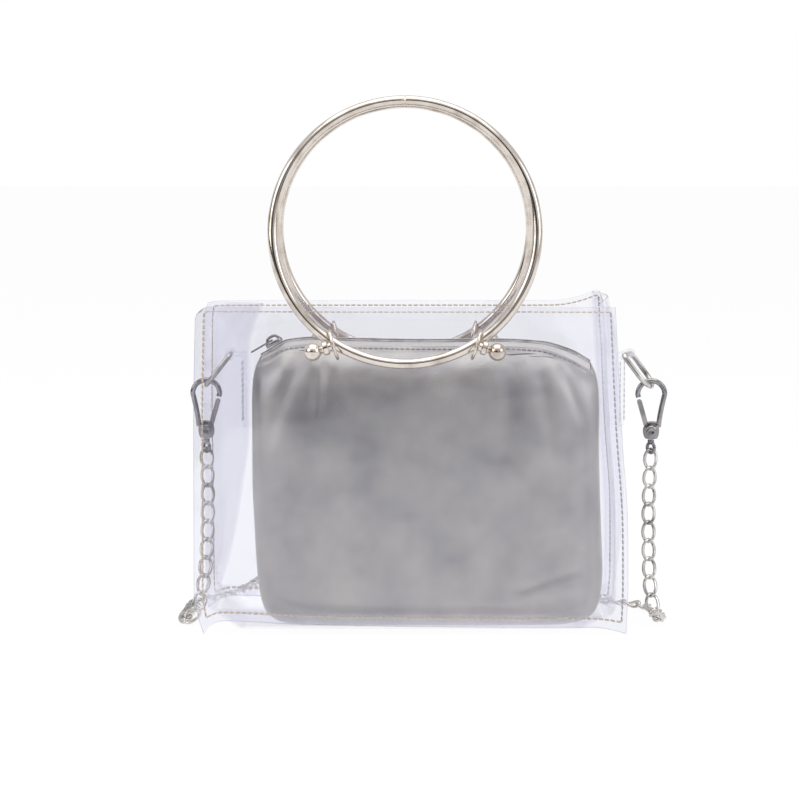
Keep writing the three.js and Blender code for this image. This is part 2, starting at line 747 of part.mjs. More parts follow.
// The swivel under a hook: a stem and the eye that holds the first link.
function swivel() {
  const stemTop = -hookBodyDrop - clearance;
  const stemEnd = -eyeDrop + eyeRadius;
  const stem = new THREE.CylinderGeometry(stemRadius, stemRadius, stemTop - stemEnd, 6).rotateX(Math.PI / 2);
  const eye = new THREE.TorusGeometry(eyeRadius, eyeWire / 2, 5, 10).rotateX(Math.PI / 2);
  return joined([stem.translate(0, 0, (stemTop + stemEnd) / 2), eye.translate(0, 0, -eyeDrop)]);
}

// The middle line of a curb link: an oval along x whose plane turns by the twist from one end to the other.
class LinkPath extends THREE.Curve {
  getPoint(t, target = new THREE.Vector3()) {
    const end = (linkWidth - linkWire) / 2;
    const straight = (linkLength - linkWidth) / 2;
    const angle = 2 * Math.PI * t;
    const share = Math.cos(angle);
    const along = end * share + straight * Math.sign(share) * Math.abs(share) ** 0.6;
    const aside = end * Math.sin(angle);
    const turn = (linkTwist * along) / linkLength;
    return target.set(along, aside * Math.cos(turn), aside * Math.sin(turn));
  }
}

const link = () => new THREE.TubeGeometry(new LinkPath(), 10, linkWire / 2, 5, true);

// The part of a curve between two distances along it, from the first to the second.
class Stretch extends THREE.Curve {
  constructor(route, from, to) {
    super();
    this.route = route;
    this.shares = [from / route.getLength(), to / route.getLength()];
  }
  getPoint(t, target = new THREE.Vector3()) {
    return this.route.getPointAt(THREE.MathUtils.lerp(...this.shares, t), target);
  }
}

// A chain of links along a stretch that starts hanging and ends lying, fused where the links meet.
function chain(stretch, links) {
  const pieces = [];
  for (let i = 0; i < links; i++) {
    const from = stretch.getPoint(i / links);
    const to = stretch.getPoint((i + 1) / links);
    const along = to.clone().sub(from).normalize();
    const lying = THREE.MathUtils.smoothstep(1 - Math.abs(along.z), 0.1, 0.8);
    const facing = new THREE.Vector3(0, -1, 0).lerp(new THREE.Vector3(0, 0, 1), lying);
    const aside = new THREE.Vector3().crossVectors(along, facing).normalize();
    const normal = new THREE.Vector3().crossVectors(along, aside).normalize();
    const centre = from.add(to).multiplyScalar(0.5);
    const frame = new THREE.Matrix4().makeBasis(along, aside, normal).setPosition(centre);
    pieces.push(link().applyMatrix4(frame));
  }
  return joined(pieces);
}

const model = new THREE.Group();

// Adds a named mesh in a finish to a group.
function add(parent, name, geometry, finish) {
  const mesh = new THREE.Mesh(geometry, new THREE.MeshStandardMaterial(finishes[finish]));
  mesh.name = name;
  parent.add(mesh);
  return mesh;
}

function addShell() {
  add(model, "front_panel", panel(-1), "clear");
  add(model, "back_panel", panel(1), "clear");
  add(model, "gusset", gusset(), "clear");
}

function addPouch() {
  add(model, "pouch_body", pouchBody(), "silver");
  const near = slotMiddle - slotWidth / 2 + clearance;
  const far = slotMiddle + slotWidth / 2 - clearance;
  const edge = teethWidth / 2 + clearance;
  add(model, "zip_tape_front", zipStrip(near, slotMiddle - edge, -tapeThickness, 0), "tape");
  add(model, "zip_tape_back", zipStrip(slotMiddle + edge, far, -tapeThickness, 0), "tape");
  const tooth = teethWidth / 2;
  const teeth = zipStrip(slotMiddle - tooth, slotMiddle + tooth, -teethHeight / 2, teethHeight / 2);
  add(model, "zip_teeth", teeth, "steel");
  const seat = new THREE.Group();
  seat.position.set(
    pouchCentre + (pouchWidth / 2) * sliderPlace,
    slotMiddle,
    zipHeight(sliderPlace) + (teethHeight + sliderHeight) / 2 + 2 * clearance,
  );
  seat.rotation.y = sliderTilt;
  model.add(seat);
  add(seat, "zip_slider", zipSlider(), "chrome");
  add(seat, "zip_pull", zipPull(), "chrome");
}

function addHandles() {
  for (const [side, word] of [
    [-1, "front"],
    [1, "back"],
  ]) {
    const hinge = new THREE.Group();
    hinge.position.set(handleCentre, side * pivotReach, pivotHeight);
    hinge.rotation.x = side * ringLean;
    model.add(hinge);
    add(hinge, "ring_handle_" + word, ringHandle(), "nickel");
    for (const [hand, name] of [
      [-1, "left"],
      [1, "right"],
    ]) {
      const frame = loopFrame(side, hand);
      model.add(frame);
      add(frame, `screw_loop_${word}_${name}`, screwLoop(), "nickel");
      const screw = add(frame, `ball_screw_${word}_${name}`, ballScrew(), "nickel");
      screw.position.y = side * loopRadius;
      screw.rotation.y = (hand * Math.PI) / 2;
    }
  }
}

// The strap's end on one side of the bag: tab, D-ring, hook, gate and swivel. Returns where its chain begins.
function addStrapEnd(name, hand, arm, surface, yaw) {
  const seat = new THREE.Group();
  seat.position.set(surface, 0, tabHeight);
  seat.rotation.z = yaw;
  model.add(seat);
  const facing = new THREE.Group();
  if (hand < 0) facing.rotation.z = Math.PI;
  facing.position.x = hand * clearance;
  seat.add(facing);
  add(facing, "strap_tab_" + name, strapTab(arm), "clear");
  const bar = new THREE.Group();
  bar.position.x = sheet + arm;
  bar.rotation.y = dRingFall;
  facing.add(bar);
  add(bar, "d_ring_" + name, dRing(), "steel");
  model.updateMatrixWorld(true);
  const end = bar.localToWorld(new THREE.Vector3(dRingDepth, 0, 0));
  const hang = new THREE.Group();
  hang.position.set(end.x, end.y, end.z + ringWire / 2 + clearance - (hookHeight - hookWire));
  if (hand < 0) hang.rotation.z = Math.PI;
  model.add(hang);
  add(hang, "hook_" + name, snapHook(), "chrome");
  add(hang, "hook_gate_" + name, hookGate(), "chrome");
  const eye = add(hang, "hook_swivel_" + name, swivel(), "chrome");
  eye.rotation.z = -Math.PI / 2 + (linkTwist * (linkLength - linkWire)) / 2 / linkLength;
  const firstTop = -eyeDrop - eyeRadius + eyeWire / 2 + clearance + linkWire;
  return hang.position.clone().setZ(hang.position.z + firstTop - (linkLength - linkPitch) / 2);
}

function addStrap() {
  const upAt = (share) => (tabHeight - share * tabLength - panelRest) / panelHeight;
  const [low, middle, high] = [1, 0.5, 0].map(upAt);
  const seamX = (across) => panelPoint(-1, across, middle).x;
  const foldAt = (column, up) => baseDepth * between(gussetFolds, "up", column, up);
  const leftFold = Math.min(foldAt("left", low), foldAt("left", high));
  const rightFold = Math.max(foldAt("right", low), foldAt("right", high));
  const leftFace = seamX(-seamAcross) + leftFold - sheet / 2 - clearance;
  const rightFace = seamX(seamAcross) + rightFold + sheet / 2 + clearance + archSlack;
  const yaw = -Math.atan((gussetSkew * rightFold) / (baseDepth / 2));
  const leftStart = addStrapEnd("left", -1, leftTabArm, leftFace, 0);
  const rightStart = addStrapEnd("right", 1, rightTabArm, rightFace, yaw);
  const lying = chainRoute.map(({ side, out, y, z }) => [side * (panelWidth / 2 + out), y, z]);
  const route = smooth([leftStart.toArray(), ...lying, rightStart.toArray()]);
  route.arcLengthDivisions = 1200;
  const length = route.getLength();
  const left = leftLinks * linkPitch;
  const right = length - rightLinks * linkPitch;
  const gap = linkWire + 3 * clearance;
  add(model, "chain_left", chain(new Stretch(route, 0, left), leftLinks), "steel");
  add(model, "chain_right", chain(new Stretch(route, length, right), rightLinks), "steel");
  const hidden = new Stretch(route, left + gap, right - gap);
  add(model, "chain_behind", rodAlong(hidden, hiddenChain / 2, 6, 38), "steel");
}

addShell();
addPouch();
addHandles();
addStrap();

export default model;
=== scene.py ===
"""A clear PVC box handbag with a zipped silver pouch inside, two metal ring handles and a chain strap."""

import logging
import math
from dataclasses import dataclass, field
from enum import Enum
from typing import Any

import bpy
import numpy as np
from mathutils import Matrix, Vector
from mathutils.geometry import tessellate_polygon


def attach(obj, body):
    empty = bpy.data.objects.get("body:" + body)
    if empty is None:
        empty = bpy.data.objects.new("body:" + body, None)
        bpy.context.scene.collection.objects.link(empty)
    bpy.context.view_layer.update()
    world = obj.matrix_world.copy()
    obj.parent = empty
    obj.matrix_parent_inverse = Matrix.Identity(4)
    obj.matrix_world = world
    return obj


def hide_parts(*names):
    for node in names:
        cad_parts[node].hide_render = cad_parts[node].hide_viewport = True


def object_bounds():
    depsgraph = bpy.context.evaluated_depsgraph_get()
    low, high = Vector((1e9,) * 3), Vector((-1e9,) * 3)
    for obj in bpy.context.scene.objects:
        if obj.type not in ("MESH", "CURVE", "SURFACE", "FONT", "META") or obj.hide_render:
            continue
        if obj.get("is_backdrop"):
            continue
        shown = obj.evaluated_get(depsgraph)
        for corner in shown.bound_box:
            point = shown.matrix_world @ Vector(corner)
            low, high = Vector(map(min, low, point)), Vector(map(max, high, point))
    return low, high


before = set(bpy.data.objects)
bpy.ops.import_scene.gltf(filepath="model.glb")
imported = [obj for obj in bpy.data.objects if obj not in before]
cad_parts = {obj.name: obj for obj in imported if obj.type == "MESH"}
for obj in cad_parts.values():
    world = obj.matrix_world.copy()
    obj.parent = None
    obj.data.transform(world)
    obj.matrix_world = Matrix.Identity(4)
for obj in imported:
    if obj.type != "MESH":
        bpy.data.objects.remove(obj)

log = logging.getLogger("handbag")
MM = 0.001
CAD_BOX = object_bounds()
Table = dict[str, tuple[float, ...]]


class Body(Enum):
    """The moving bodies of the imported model."""

    BAG = "bag"
    FRONT_RING = "handle_front"
    BACK_RING = "handle_back"
    LEFT_GATE = "gate_left"
    RIGHT_GATE = "gate_right"


class Slot(Enum):
    """The material slots of the record."""

    SHEET = "clear_sheet"
    LEATHER = "silver_leather"
    TAPE = "zip_tape"
    NICKEL = "nickel"
    DARK = "dark_chrome"
    STEEL = "bright_steel"


def linear(code: str) -> tuple[float, float, float, float]:
    """Turns an sRGB hex colour into the linear colour that a shader socket takes.

    Args:
        code: The colour as "#RRGGBB".

    Returns:
        Red, green, blue and an alpha of one.
    """
    channel = np.array([int(code[i : i + 2], 16) for i in (1, 3, 5)]) / 255
    curve = np.where(channel <= 0.04045, channel / 12.92, ((channel + 0.055) / 1.055) ** 2.4)
    return (*curve.tolist(), 1.0)


def add_node(
    tree: bpy.types.NodeTree,
    kind: str,
    settings: dict[str, Any] | None = None,
    inputs: dict[Any, Any] | None = None,
) -> bpy.types.Node:
    """Adds a node with its settings, and sets or links its inputs.

    Args:
        tree: The node tree that gets the node.
        kind: Blender's name for the node's type.
        settings: Properties of the node by name.
        inputs: Values or output sockets by the input's name or number.

    Returns:
        The new node.
    """
    node = tree.nodes.new(kind)
    for name, value in (settings or {}).items():
        setattr(node, name, value)
    for key, value in (inputs or {}).items():
        if isinstance(value, bpy.types.NodeSocket):
            tree.links.new(value, node.inputs[key])
        else:
            node.inputs[key].default_value = value
    return node


def blank_material(name: str) -> tuple[bpy.types.Material, bpy.types.NodeTree]:
    """Makes a material with an empty node tree.

    Args:
        name: What the material really is.

    Returns:
        The material and its tree.
    """
    material = bpy.data.materials.new(name)
    material.use_nodes = True
    material.node_tree.nodes.clear()
    return material, material.node_tree


def finish_material(tree: bpy.types.NodeTree, shader: bpy.types.NodeSocket) -> None:
    """Links a shader to the tree's material output."""
    add_node(tree, "ShaderNodeOutputMaterial", inputs={"Surface": shader})


@dataclass(frozen=True)
class ClearVinyl:
    """Pressed clear PVC sheet, 1 mm: see-through with a faint lavender cast and long soft reflections.

    The reflection grows towards grazing angles as 1 - |cos| to the fifth power, which is Fresnel's law with the
    same strength on both faces of the sheet.
    """

    name: str = "pressed_clear_pvc"
    tint: str = "#FCFCFE"
    haze: str = "#F4F3FA"
    haze_share: float = 0.015
    normal_gloss: float = 0.04
    grazing_gloss: float = 0.4
    roughness: float = 0.07
    wave_mm: float = 38.0
    wave_height_mm: float = 0.5

    def material(self) -> bpy.types.Material:
        """Builds the material."""
        material, tree = blank_material(self.name)
        place = add_node(tree, "ShaderNodeTexCoord").outputs["Object"]
        waves = add_node(
            tree, "ShaderNodeTexNoise", inputs={"Vector": place, "Scale": 1 / (self.wave_mm * MM), "Detail": 1.0}
        )
        bump = add_node(
            tree,
            "ShaderNodeBump",
            inputs={"Height": waves.outputs[0], "Strength": 1.0, "Distance": self.wave_height_mm * MM},
        )
        facing = add_node(tree, "ShaderNodeLayerWeight", inputs={"Blend": 0.5, "Normal": bump.outputs[0]})
        power = add_node(
            tree, "ShaderNodeMath", {"operation": "POWER"}, {0: facing.outputs["Facing"], 1: 4.0}
        )
        share = add_node(
            tree,
            "ShaderNodeMath",
            {"operation": "MULTIPLY_ADD"},
            {0: power.outputs[0], 1: self.grazing_gloss, 2: self.normal_gloss},
        )
        clear = add_node(tree, "ShaderNodeBsdfTransparent", inputs={"Color": linear(self.tint)})
        cloud = add_node(tree, "ShaderNodeBsdfDiffuse", inputs={"Color": linear(self.haze)})
        body = add_node(
            tree, "ShaderNodeMixShader", inputs={0: self.haze_share, 1: clear.outputs[0], 2: cloud.outputs[0]}
        )
        gloss = add_node(
            tree,
            "ShaderNodeBsdfGlossy",
            inputs={"Color": linear("#FFFFFF"), "Roughness": self.roughness, "Normal": bump.outputs[0]},
        )
        mix = add_node(
            tree, "ShaderNodeMixShader", inputs={0: share.outputs[0], 1: body.outputs[0], 2: gloss.outputs[0]}
        )
        finish_material(tree, mix.outputs[0])
        return material


@dataclass(frozen=True)
class CutEdgeWithShade:
    """Cut edge of the PVC sheet: matt from the blade, and drawn as a fine grey lavender line of painted shade, the
    darkening that the clear sheet shows along its edges.
    """

    name: str = "cut_pvc_edge_painted_shade"
    # The rim's grey lavender is painted shade; the lighter nicks mixed into it are the blade's marks.
    colour: str = "#8B8A9C"
    open_share: float = 0.35

    def material(self) -> bpy.types.Material:
        """Builds the material."""
        material, tree = blank_material(self.name)
        place = add_node(tree, "ShaderNodeTexCoord").outputs["Object"]
        nicks = add_node(tree, "ShaderNodeTexNoise", inputs={"Vector": place, "Scale": 1 / (3 * MM)})
        colour = add_node(
            tree,
            "ShaderNodeMix",
            {"data_type": "RGBA"},
            {0: nicks.outputs[0], 6: linear(self.colour), 7: linear("#C4C3D0")},
        )
        cut = add_node(
            tree, "ShaderNodeBsdfPrincipled", inputs={"Base Color": colour.outputs[2], "Roughness": 0.45}
        )
        clear = add_node(tree, "ShaderNodeBsdfTransparent")
        mix = add_node(
            tree, "ShaderNodeMixShader", inputs={0: self.open_share, 1: cut.outputs[0], 2: clear.outputs[0]}
        )
        finish_material(tree, mix.outputs[0])
        return material


@dataclass(frozen=True)
class SilverLeather:
    """Foil-coated split leather: a soft metallic film over a fine pressed grain, so that it glows in broad patches.

    The grain of the real skin is about 0.5 mm; it is drawn at 0.9 mm so that it still shows in the render.
    """

    name: str = "foil_coated_leather"
    light: str = "#BEBBB6"
    dark: str = "#9F9D9E"
    metallic: float = 0.75
    roughness: float = 0.36
    grain_mm: float = 0.9
    grain_height_mm: float = 0.05
    pull_mm: float = 36.0
    pull_height_mm: float = 0.9

    def material(self) -> bpy.types.Material:
        """Builds the material."""
        material, tree = blank_material(self.name)
        place = add_node(tree, "ShaderNodeTexCoord").outputs["Object"]
        grain = add_node(
            tree, "ShaderNodeTexVoronoi", inputs={"Vector": place, "Scale": 1 / (self.grain_mm * MM)}
        )
        pulls = add_node(
            tree,
            "ShaderNodeTexNoise",
            inputs={"Vector": place, "Scale": 1 / (self.pull_mm * MM), "Detail": 2.0, "Distortion": 0.6},
        )
        soft = add_node(
            tree,
            "ShaderNodeBump",
            inputs={"Height": pulls.outputs[0], "Strength": 1.0, "Distance": self.pull_height_mm * MM},
        )
        fine = add_node(
            tree,
            "ShaderNodeBump",
            inputs={
                "Height": grain.outputs["Distance"],
                "Strength": 0.8,
                "Distance": self.grain_height_mm * MM,
                "Normal": soft.outputs[0],
            },
        )
        patches = add_node(tree, "ShaderNodeTexNoise", inputs={"Vector": place, "Scale": 1 / (22 * MM), "Detail": 3.0})
        worn = add_node(tree, "ShaderNodeMapRange", inputs={0: patches.outputs[0], 1: 0.3, 2: 0.7})
        colour = add_node(
            tree,
            "ShaderNodeMix",
            {"data_type": "RGBA"},
            {0: worn.outputs[0], 6: linear(self.dark), 7: linear(self.light)},
        )
        rough = add_node(
            tree,
            "ShaderNodeMapRange",
            inputs={0: patches.outputs[0], 3: self.roughness - 0.05, 4: self.roughness + 0.08},
        )
        film = add_node(
            tree,
            "ShaderNodeBsdfPrincipled",
            inputs={
                "Base Color": colour.outputs[2],
                "Metallic": self.metallic,
                "Roughness": rough.outputs[0],
                "Normal": fine.outputs[0],
            },
        )
        finish_material(tree, film.outputs[0])
        return material


@dataclass(frozen=True)
class WovenTape:
    """Woven polyester zip tape: fine ribs across it and a dull silky light.

    The ribs are 0.6 mm apart, as on a small coil zip.
    """

    name: str = "woven_polyester_tape"
    light: str = "#E4E2E0"
    dark: str = "#B9B6B6"
    rib_mm: float = 0.6

    def material(self) -> bpy.types.Material:
        """Builds the material."""
        material, tree = blank_material(self.name)
        place = add_node(tree, "ShaderNodeTexCoord").outputs["Object"]
        ribs = add_node(
            tree,
            "ShaderNodeTexWave",
            {"bands_direction": "X"},
            {"Vector": place, "Scale": math.pi / (10 * self.rib_mm * MM), "Distortion": 0.4},
        )
        bump = add_node(
            tree,
            "ShaderNodeBump",
            inputs={"Height": ribs.outputs["Fac"], "Strength": 0.7, "Distance": 0.12 * MM},
        )
        colour = add_node(
            tree,
            "ShaderNodeMix",
            {"data_type": "RGBA"},
            {0: ribs.outputs["Fac"], 6: linear(self.dark), 7: linear(self.light)},
        )
        yarn = add_node(
            tree,
            "ShaderNodeBsdfPrincipled",
            inputs={
                "Base Color": colour.outputs[2],
                "Roughness": 0.5,
                "Metallic": 0.25,
                "Sheen Weight": 0.3,
                "Normal": bump.outputs[0],
            },
        )
        finish_material(tree, yarn.outputs[0])
        return material


@dataclass(frozen=True)
class PlatedMetal:
    """Plated zinc or steel, barrel polished: near mirror, with a slight orange peel and finger-dulled patches."""

    name: str
    colour: str
    patina: str
    roughness: float
    peel_mm: float = 1.6
    peel_height_mm: float = 0.006

    def material(self) -> bpy.types.Material:
        """Builds the material."""
        material, tree = blank_material(self.name)
        place = add_node(tree, "ShaderNodeTexCoord").outputs["Object"]
        peel = add_node(
            tree, "ShaderNodeTexNoise", inputs={"Vector": place, "Scale": 1 / (self.peel_mm * MM), "Detail": 2.0}
        )
        bump = add_node(
            tree,
            "ShaderNodeBump",
            inputs={"Height": peel.outputs[0], "Strength": 1.0, "Distance": self.peel_height_mm * MM},
        )
        dull = add_node(tree, "ShaderNodeTexNoise", inputs={"Vector": place, "Scale": 1 / (9 * MM), "Detail": 3.0})
        worn = add_node(tree, "ShaderNodeMapRange", inputs={0: dull.outputs[0], 1: 0.45, 2: 0.75})
        colour = add_node(
            tree,
            "ShaderNodeMix",
            {"data_type": "RGBA"},
            {0: worn.outputs[0], 6: linear(self.colour), 7: linear(self.patina)},
        )
        rough = add_node(
            tree,
            "ShaderNodeMapRange",
            inputs={0: dull.outputs[0], 3: self.roughness * 0.7, 4: self.roughness * 1.5},
        )
        metal = add_node(
            tree,
            "ShaderNodeBsdfPrincipled",
            inputs={
                "Base Color": colour.outputs[2],
                "Metallic": 1.0,
                "Roughness": rough.outputs[0],
                "Normal": bump.outputs[0],
            },
        )
        finish_material(tree, metal.outputs[0])
        return material


@dataclass(frozen=True)
class SewingThread:
    """Bonded nylon thread, three plies: pale, slightly fuzzy, darker where the plies meet."""

    name: str
    colour: str
    shade: str
    ply_mm: float = 0.5

    def material(self) -> bpy.types.Material:
        """Builds the material."""
        material, tree = blank_material(self.name)
        place = add_node(tree, "ShaderNodeTexCoord").outputs["Object"]
        plies = add_node(
            tree,
            "ShaderNodeTexWave",
            {"bands_direction": "DIAGONAL"},
            {"Vector": place, "Scale": math.pi / (10 * self.ply_mm * MM), "Distortion": 1.0},
        )
        colour = add_node(
            tree,
            "ShaderNodeMix",
            {"data_type": "RGBA"},
            {0: plies.outputs["Fac"], 6: linear(self.shade), 7: linear(self.colour)},
        )
        yarn = add_node(
            tree,
            "ShaderNodeBsdfPrincipled",
            inputs={"Base Color": colour.outputs[2], "Roughness": 0.7, "Sheen Weight": 0.2},
        )
        finish_material(tree, yarn.outputs[0])
        return material


@dataclass(frozen=True)
class StudioPaper:
    """White seamless paper, matt, lit from below as on a light table, so that shadows on it stay faint."""

    name: str = "white_background_paper"
    colour: str = "#F4F4F6"
    glow: float = 1.01
    glow_share: float = 0.93

    def material(self) -> bpy.types.Material:
        """Builds the material."""
        material, tree = blank_material(self.name)
        place = add_node(tree, "ShaderNodeTexCoord").outputs["Object"]
        tooth = add_node(tree, "ShaderNodeTexNoise", inputs={"Vector": place, "Scale": 1 / (2 * MM)})
        bump = add_node(
            tree, "ShaderNodeBump", inputs={"Height": tooth.outputs[0], "Strength": 0.2, "Distance": 0.05 * MM}
        )
        paper = add_node(
            tree,
            "ShaderNodeBsdfDiffuse",
            inputs={"Color": linear(self.colour), "Roughness": 0.5, "Normal": bump.outputs[0]},
        )
        light = add_node(tree, "ShaderNodeEmission", inputs={"Color": linear("#FFFFFF"), "Strength": self.glow})
        mix = add_node(
            tree, "ShaderNodeMixShader", inputs={0: self.glow_share, 1: paper.outputs[0], 2: light.outputs[0]}
        )
        finish_material(tree, mix.outputs[0])
        return material


@dataclass
class Finishes:
    """Every finish of the bag, made once and shared by its pieces."""

    vinyl: bpy.types.Material = field(default_factory=lambda: ClearVinyl().material())
    # The sheets' cut rims, drawn grey lavender as painted shade.
    edge: bpy.types.Material = field(default_factory=lambda: CutEdgeWithShade().material())
    leather: bpy.types.Material = field(default_factory=lambda: SilverLeather().material())
    tape: bpy.types.Material = field(default_factory=lambda: WovenTape().material())
    nickel: bpy.types.Material = field(
        default_factory=lambda: PlatedMetal("polished_nickel_plate", "#E2D9D0", "#B9ADA2", 0.11).material()
    )
    dark: bpy.types.Material = field(
        default_factory=lambda: PlatedMetal("black_nickel_plate", "#A3A0A2", "#6F6D72", 0.13).material()
    )
    steel: bpy.types.Material = field(
        default_factory=lambda: PlatedMetal("bright_steel_plate", "#D6D3CF", "#8E8B88", 0.12).material()
    )
    thread: bpy.types.Material = field(
        default_factory=lambda: SewingThread("beige_nylon_thread", "#D9CBB6", "#B09E88").material()
    )
    # Grey thread for the pouch's topstitch; on the panels' right seams it is painted shade, the beige thread drawn
    # darker in grey where shade falls on it.
    grey_and_shaded_thread: bpy.types.Material = field(
        default_factory=lambda: SewingThread("grey_nylon_and_painted_shade_thread", "#C9C7C9", "#77757C").material()
    )
    pale_thread: bpy.types.Material = field(
        default_factory=lambda: SewingThread("clear_nylon_thread", "#EDEBF0", "#D3D0DA").material()
    )


@dataclass
class Shape:
    """A mesh as arrays, in millimetres: points, four-sided and three-sided faces, and a finish number by quad."""

    points: np.ndarray
    quads: np.ndarray
    triangles: np.ndarray = field(default_factory=lambda: np.zeros((0, 3), int))
    finish: np.ndarray | None = None

    def finish_numbers(self) -> np.ndarray:
        """Gives the finish number of every face, quads first."""
        quads = np.zeros(len(self.quads), int) if self.finish is None else self.finish
        return np.concatenate([quads, np.zeros(len(self.triangles), int)])

    def __add__(self, other: "Shape") -> "Shape":
        """Joins two shapes into one mesh without changing either."""
        shift = len(self.points)
        numbers = [
            np.zeros(len(one.quads), int) if one.finish is None else one.finish for one in (self, other)
        ]
        return Shape(
            np.concatenate([self.points, other.points]),
            np.concatenate([self.quads, other.quads + shift]),
            np.concatenate([self.triangles, other.triangles + shift]),
            np.concatenate(numbers),
        )

    def volume(self) -> float:
        """Gives the signed volume, as the sum of the faces' tetrahedra to the origin."""
        fans = np.concatenate([self.triangles, self.quads[:, [0, 1, 2]], self.quads[:, [0, 2, 3]]])
        a, b, c = (self.points[fans[:, i]] for i in range(3))
        return float(np.einsum("ij,ij->", a, np.cross(b, c)) / 6)

    def facing_out(self) -> "Shape":
        """Turns every face round if the shape is inside out."""
        if self.volume() >= 0:
            return self
        return Shape(self.points, self.quads[:, ::-1], self.triangles[:, ::-1], self.finish)

    def placed(self, matrix: np.ndarray) -> "Shape":
        """Gives the shape moved by a four by four matrix that doesn't mirror."""
        return Shape(self.points @ matrix[:3, :3].T + matrix[:3, 3], self.quads, self.triangles, self.finish)

    def copies(self, matrices: np.ndarray) -> "Shape":
        """Gives one shape that holds a copy at every matrix.

        Args:
            matrices: Four by four matrices, one a copy.

        Returns:
            The joined copies.
        """
        count, size = len(matrices), len(self.points)
        points = np.einsum("nij,pj->npi", matrices[:, :3, :3], self.points) + matrices[:, None, :3, 3]
        shift = (np.arange(count) * size)[:, None, None]
        return Shape(
            points.reshape(-1, 3),
            (self.quads[None] + shift).reshape(-1, 4),
            (self.triangles[None] + shift).reshape(-1, 3),
        )


def unit(vectors: np.ndarray) -> np.ndarray:
    """Gives vectors of length one along the last axis."""
    return vectors / np.maximum(np.linalg.norm(vectors, axis=-1, keepdims=True), 1e-12)


def eased(table: Table, key: str, column: str, at: np.ndarray | float) -> np.ndarray:
    """Reads a table's column at places between its rows.

    Between two rows the value follows the cubic that has, at each row, the harmonic mean of the slopes on either
    side, or no slope where they differ in sign. So it never overshoots a row.

    Args:
        table: Columns of numbers by name.
        key: The column that says where each row stands.
        column: The column that is read.
        at: The places.

    Returns:
        The values, in the shape of the places.
    """
    x, y = np.array(table[key], float), np.array(table[column], float)
    rise = np.diff(y) / np.diff(x)
    product = rise[1:] * rise[:-1]
    mean = 2 * product / np.where(product > 0, rise[1:] + rise[:-1], 1)
    slope = np.concatenate([rise[:1], np.where(product > 0, mean, 0), rise[-1:]])
    at = np.asarray(at, float)
    i = np.clip(np.searchsorted(x, at, "right") - 1, 0, len(x) - 2)
    step = x[i + 1] - x[i]
    t = np.clip((at - x[i]) / step, 0, 1)
    ends = y[i] * (1 + 2 * t) * (1 - t) ** 2 + y[i + 1] * t**2 * (3 - 2 * t)
    return ends + step * (slope[i] * t * (1 - t) ** 2 - slope[i + 1] * t**2 * (1 - t))


def turned(axis: str, degrees: float) -> np.ndarray:
    """Gives a four by four turn about an axis, right-handed.

    Args:
        axis: "x", "y" or "z".
        degrees: The angle.

    Returns:
        The matrix.
    """
    c, s = math.cos(math.radians(degrees)), math.sin(math.radians(degrees))
    i, j = {"x": (1, 2), "y": (2, 0), "z": (0, 1)}[axis]
    matrix = np.eye(4)
    matrix[i, i] = matrix[j, j] = c
    matrix[i, j], matrix[j, i] = -s, s
    return matrix


def moved(x: float, y: float, z: float) -> np.ndarray:
    """Gives a four by four move in millimetres."""
    matrix = np.eye(4)
    matrix[:3, 3] = x, y, z
    return matrix


def grid_quads(rows: int, columns: int, wrap_rows: bool = False, wrap_columns: bool = False) -> np.ndarray:
    """Numbers the quads of a grid of points, optionally joined round in either direction.

    Args:
        rows: How many rows of points.
        columns: How many points a row.
        wrap_rows: True if the last row joins the first.
        wrap_columns: True if each row is a ring.

    Returns:
        Four point numbers a face.
    """
    i, j = np.meshgrid(
        np.arange(rows if wrap_rows else rows - 1), np.arange(columns if wrap_columns else columns - 1), indexing="ij"
    )
    below, right = (i + 1) % rows, (j + 1) % columns
    corners = [i * columns + j, i * columns + right, below * columns + right, below * columns + j]
    return np.stack([c.ravel() for c in corners], axis=1)


def skin(rings: np.ndarray, looped: bool = False, capped: bool = True) -> Shape:
    """Closes a skin over rings of points, with a fan on each end unless the rings run round in a loop.

    Args:
        rings: Points by ring and place round it.
        looped: True if the last ring joins the first.
        capped: True for a fan over the first and last ring.

    Returns:
        The closed shape, facing out.
    """
    count, around = rings.shape[:2]
    points = rings.reshape(-1, 3)
    quads = grid_quads(count, around, wrap_rows=looped, wrap_columns=True)
    if looped or not capped:
        return Shape(points, quads).facing_out()
    near = np.arange(around)
    far = near + (count - 1) * around
    middles = np.stack([rings[0].mean(axis=0), rings[-1].mean(axis=0)])
    first = np.stack([np.full(around, len(points)), np.roll(near, -1), near], axis=1)
    last = np.stack([np.full(around, len(points) + 1), far, np.roll(far, -1)], axis=1)
    return Shape(np.concatenate([points, middles]), quads, np.concatenate([first, last])).facing_out()


def swept(
    path: np.ndarray,
    radius: float | np.ndarray,
    sides: int,
    across: tuple[float, float, float],
    closed: bool = False,
    flat: float = 1.0,
) -> Shape:
    """Carries a round or oval section along a path.

    Each section lies square to the path: its first axis is the path's direction crossed with a fixed vector, its
    second is square to both.

    Args:
        path: Points of the middle line.
        radius: The section's radius, for all or by point.
        sides: Points round a section.
        across: The fixed vector, never along the path.
        closed: True if the path runs round in a loop.
        flat: Second axis of the section as a share of the first.

    Returns:
        The rod.
    """
    if closed:
        along = unit(np.roll(path, -1, axis=0) - np.roll(path, 1, axis=0))
    else:
        along = unit(np.gradient(path, axis=0))
    first = unit(np.cross(along, np.array(across, float)))
    second = np.cross(along, first)
    turn = np.linspace(0, 2 * np.pi, sides, endpoint=False)
    reach = np.broadcast_to(np.asarray(radius, float), (len(path),))[:, None, None]
    ring = np.cos(turn)[None, :, None] * first[:, None] + flat * np.sin(turn)[None, :, None] * second[:, None]
    return skin(path[:, None] + reach * ring, looped=closed)


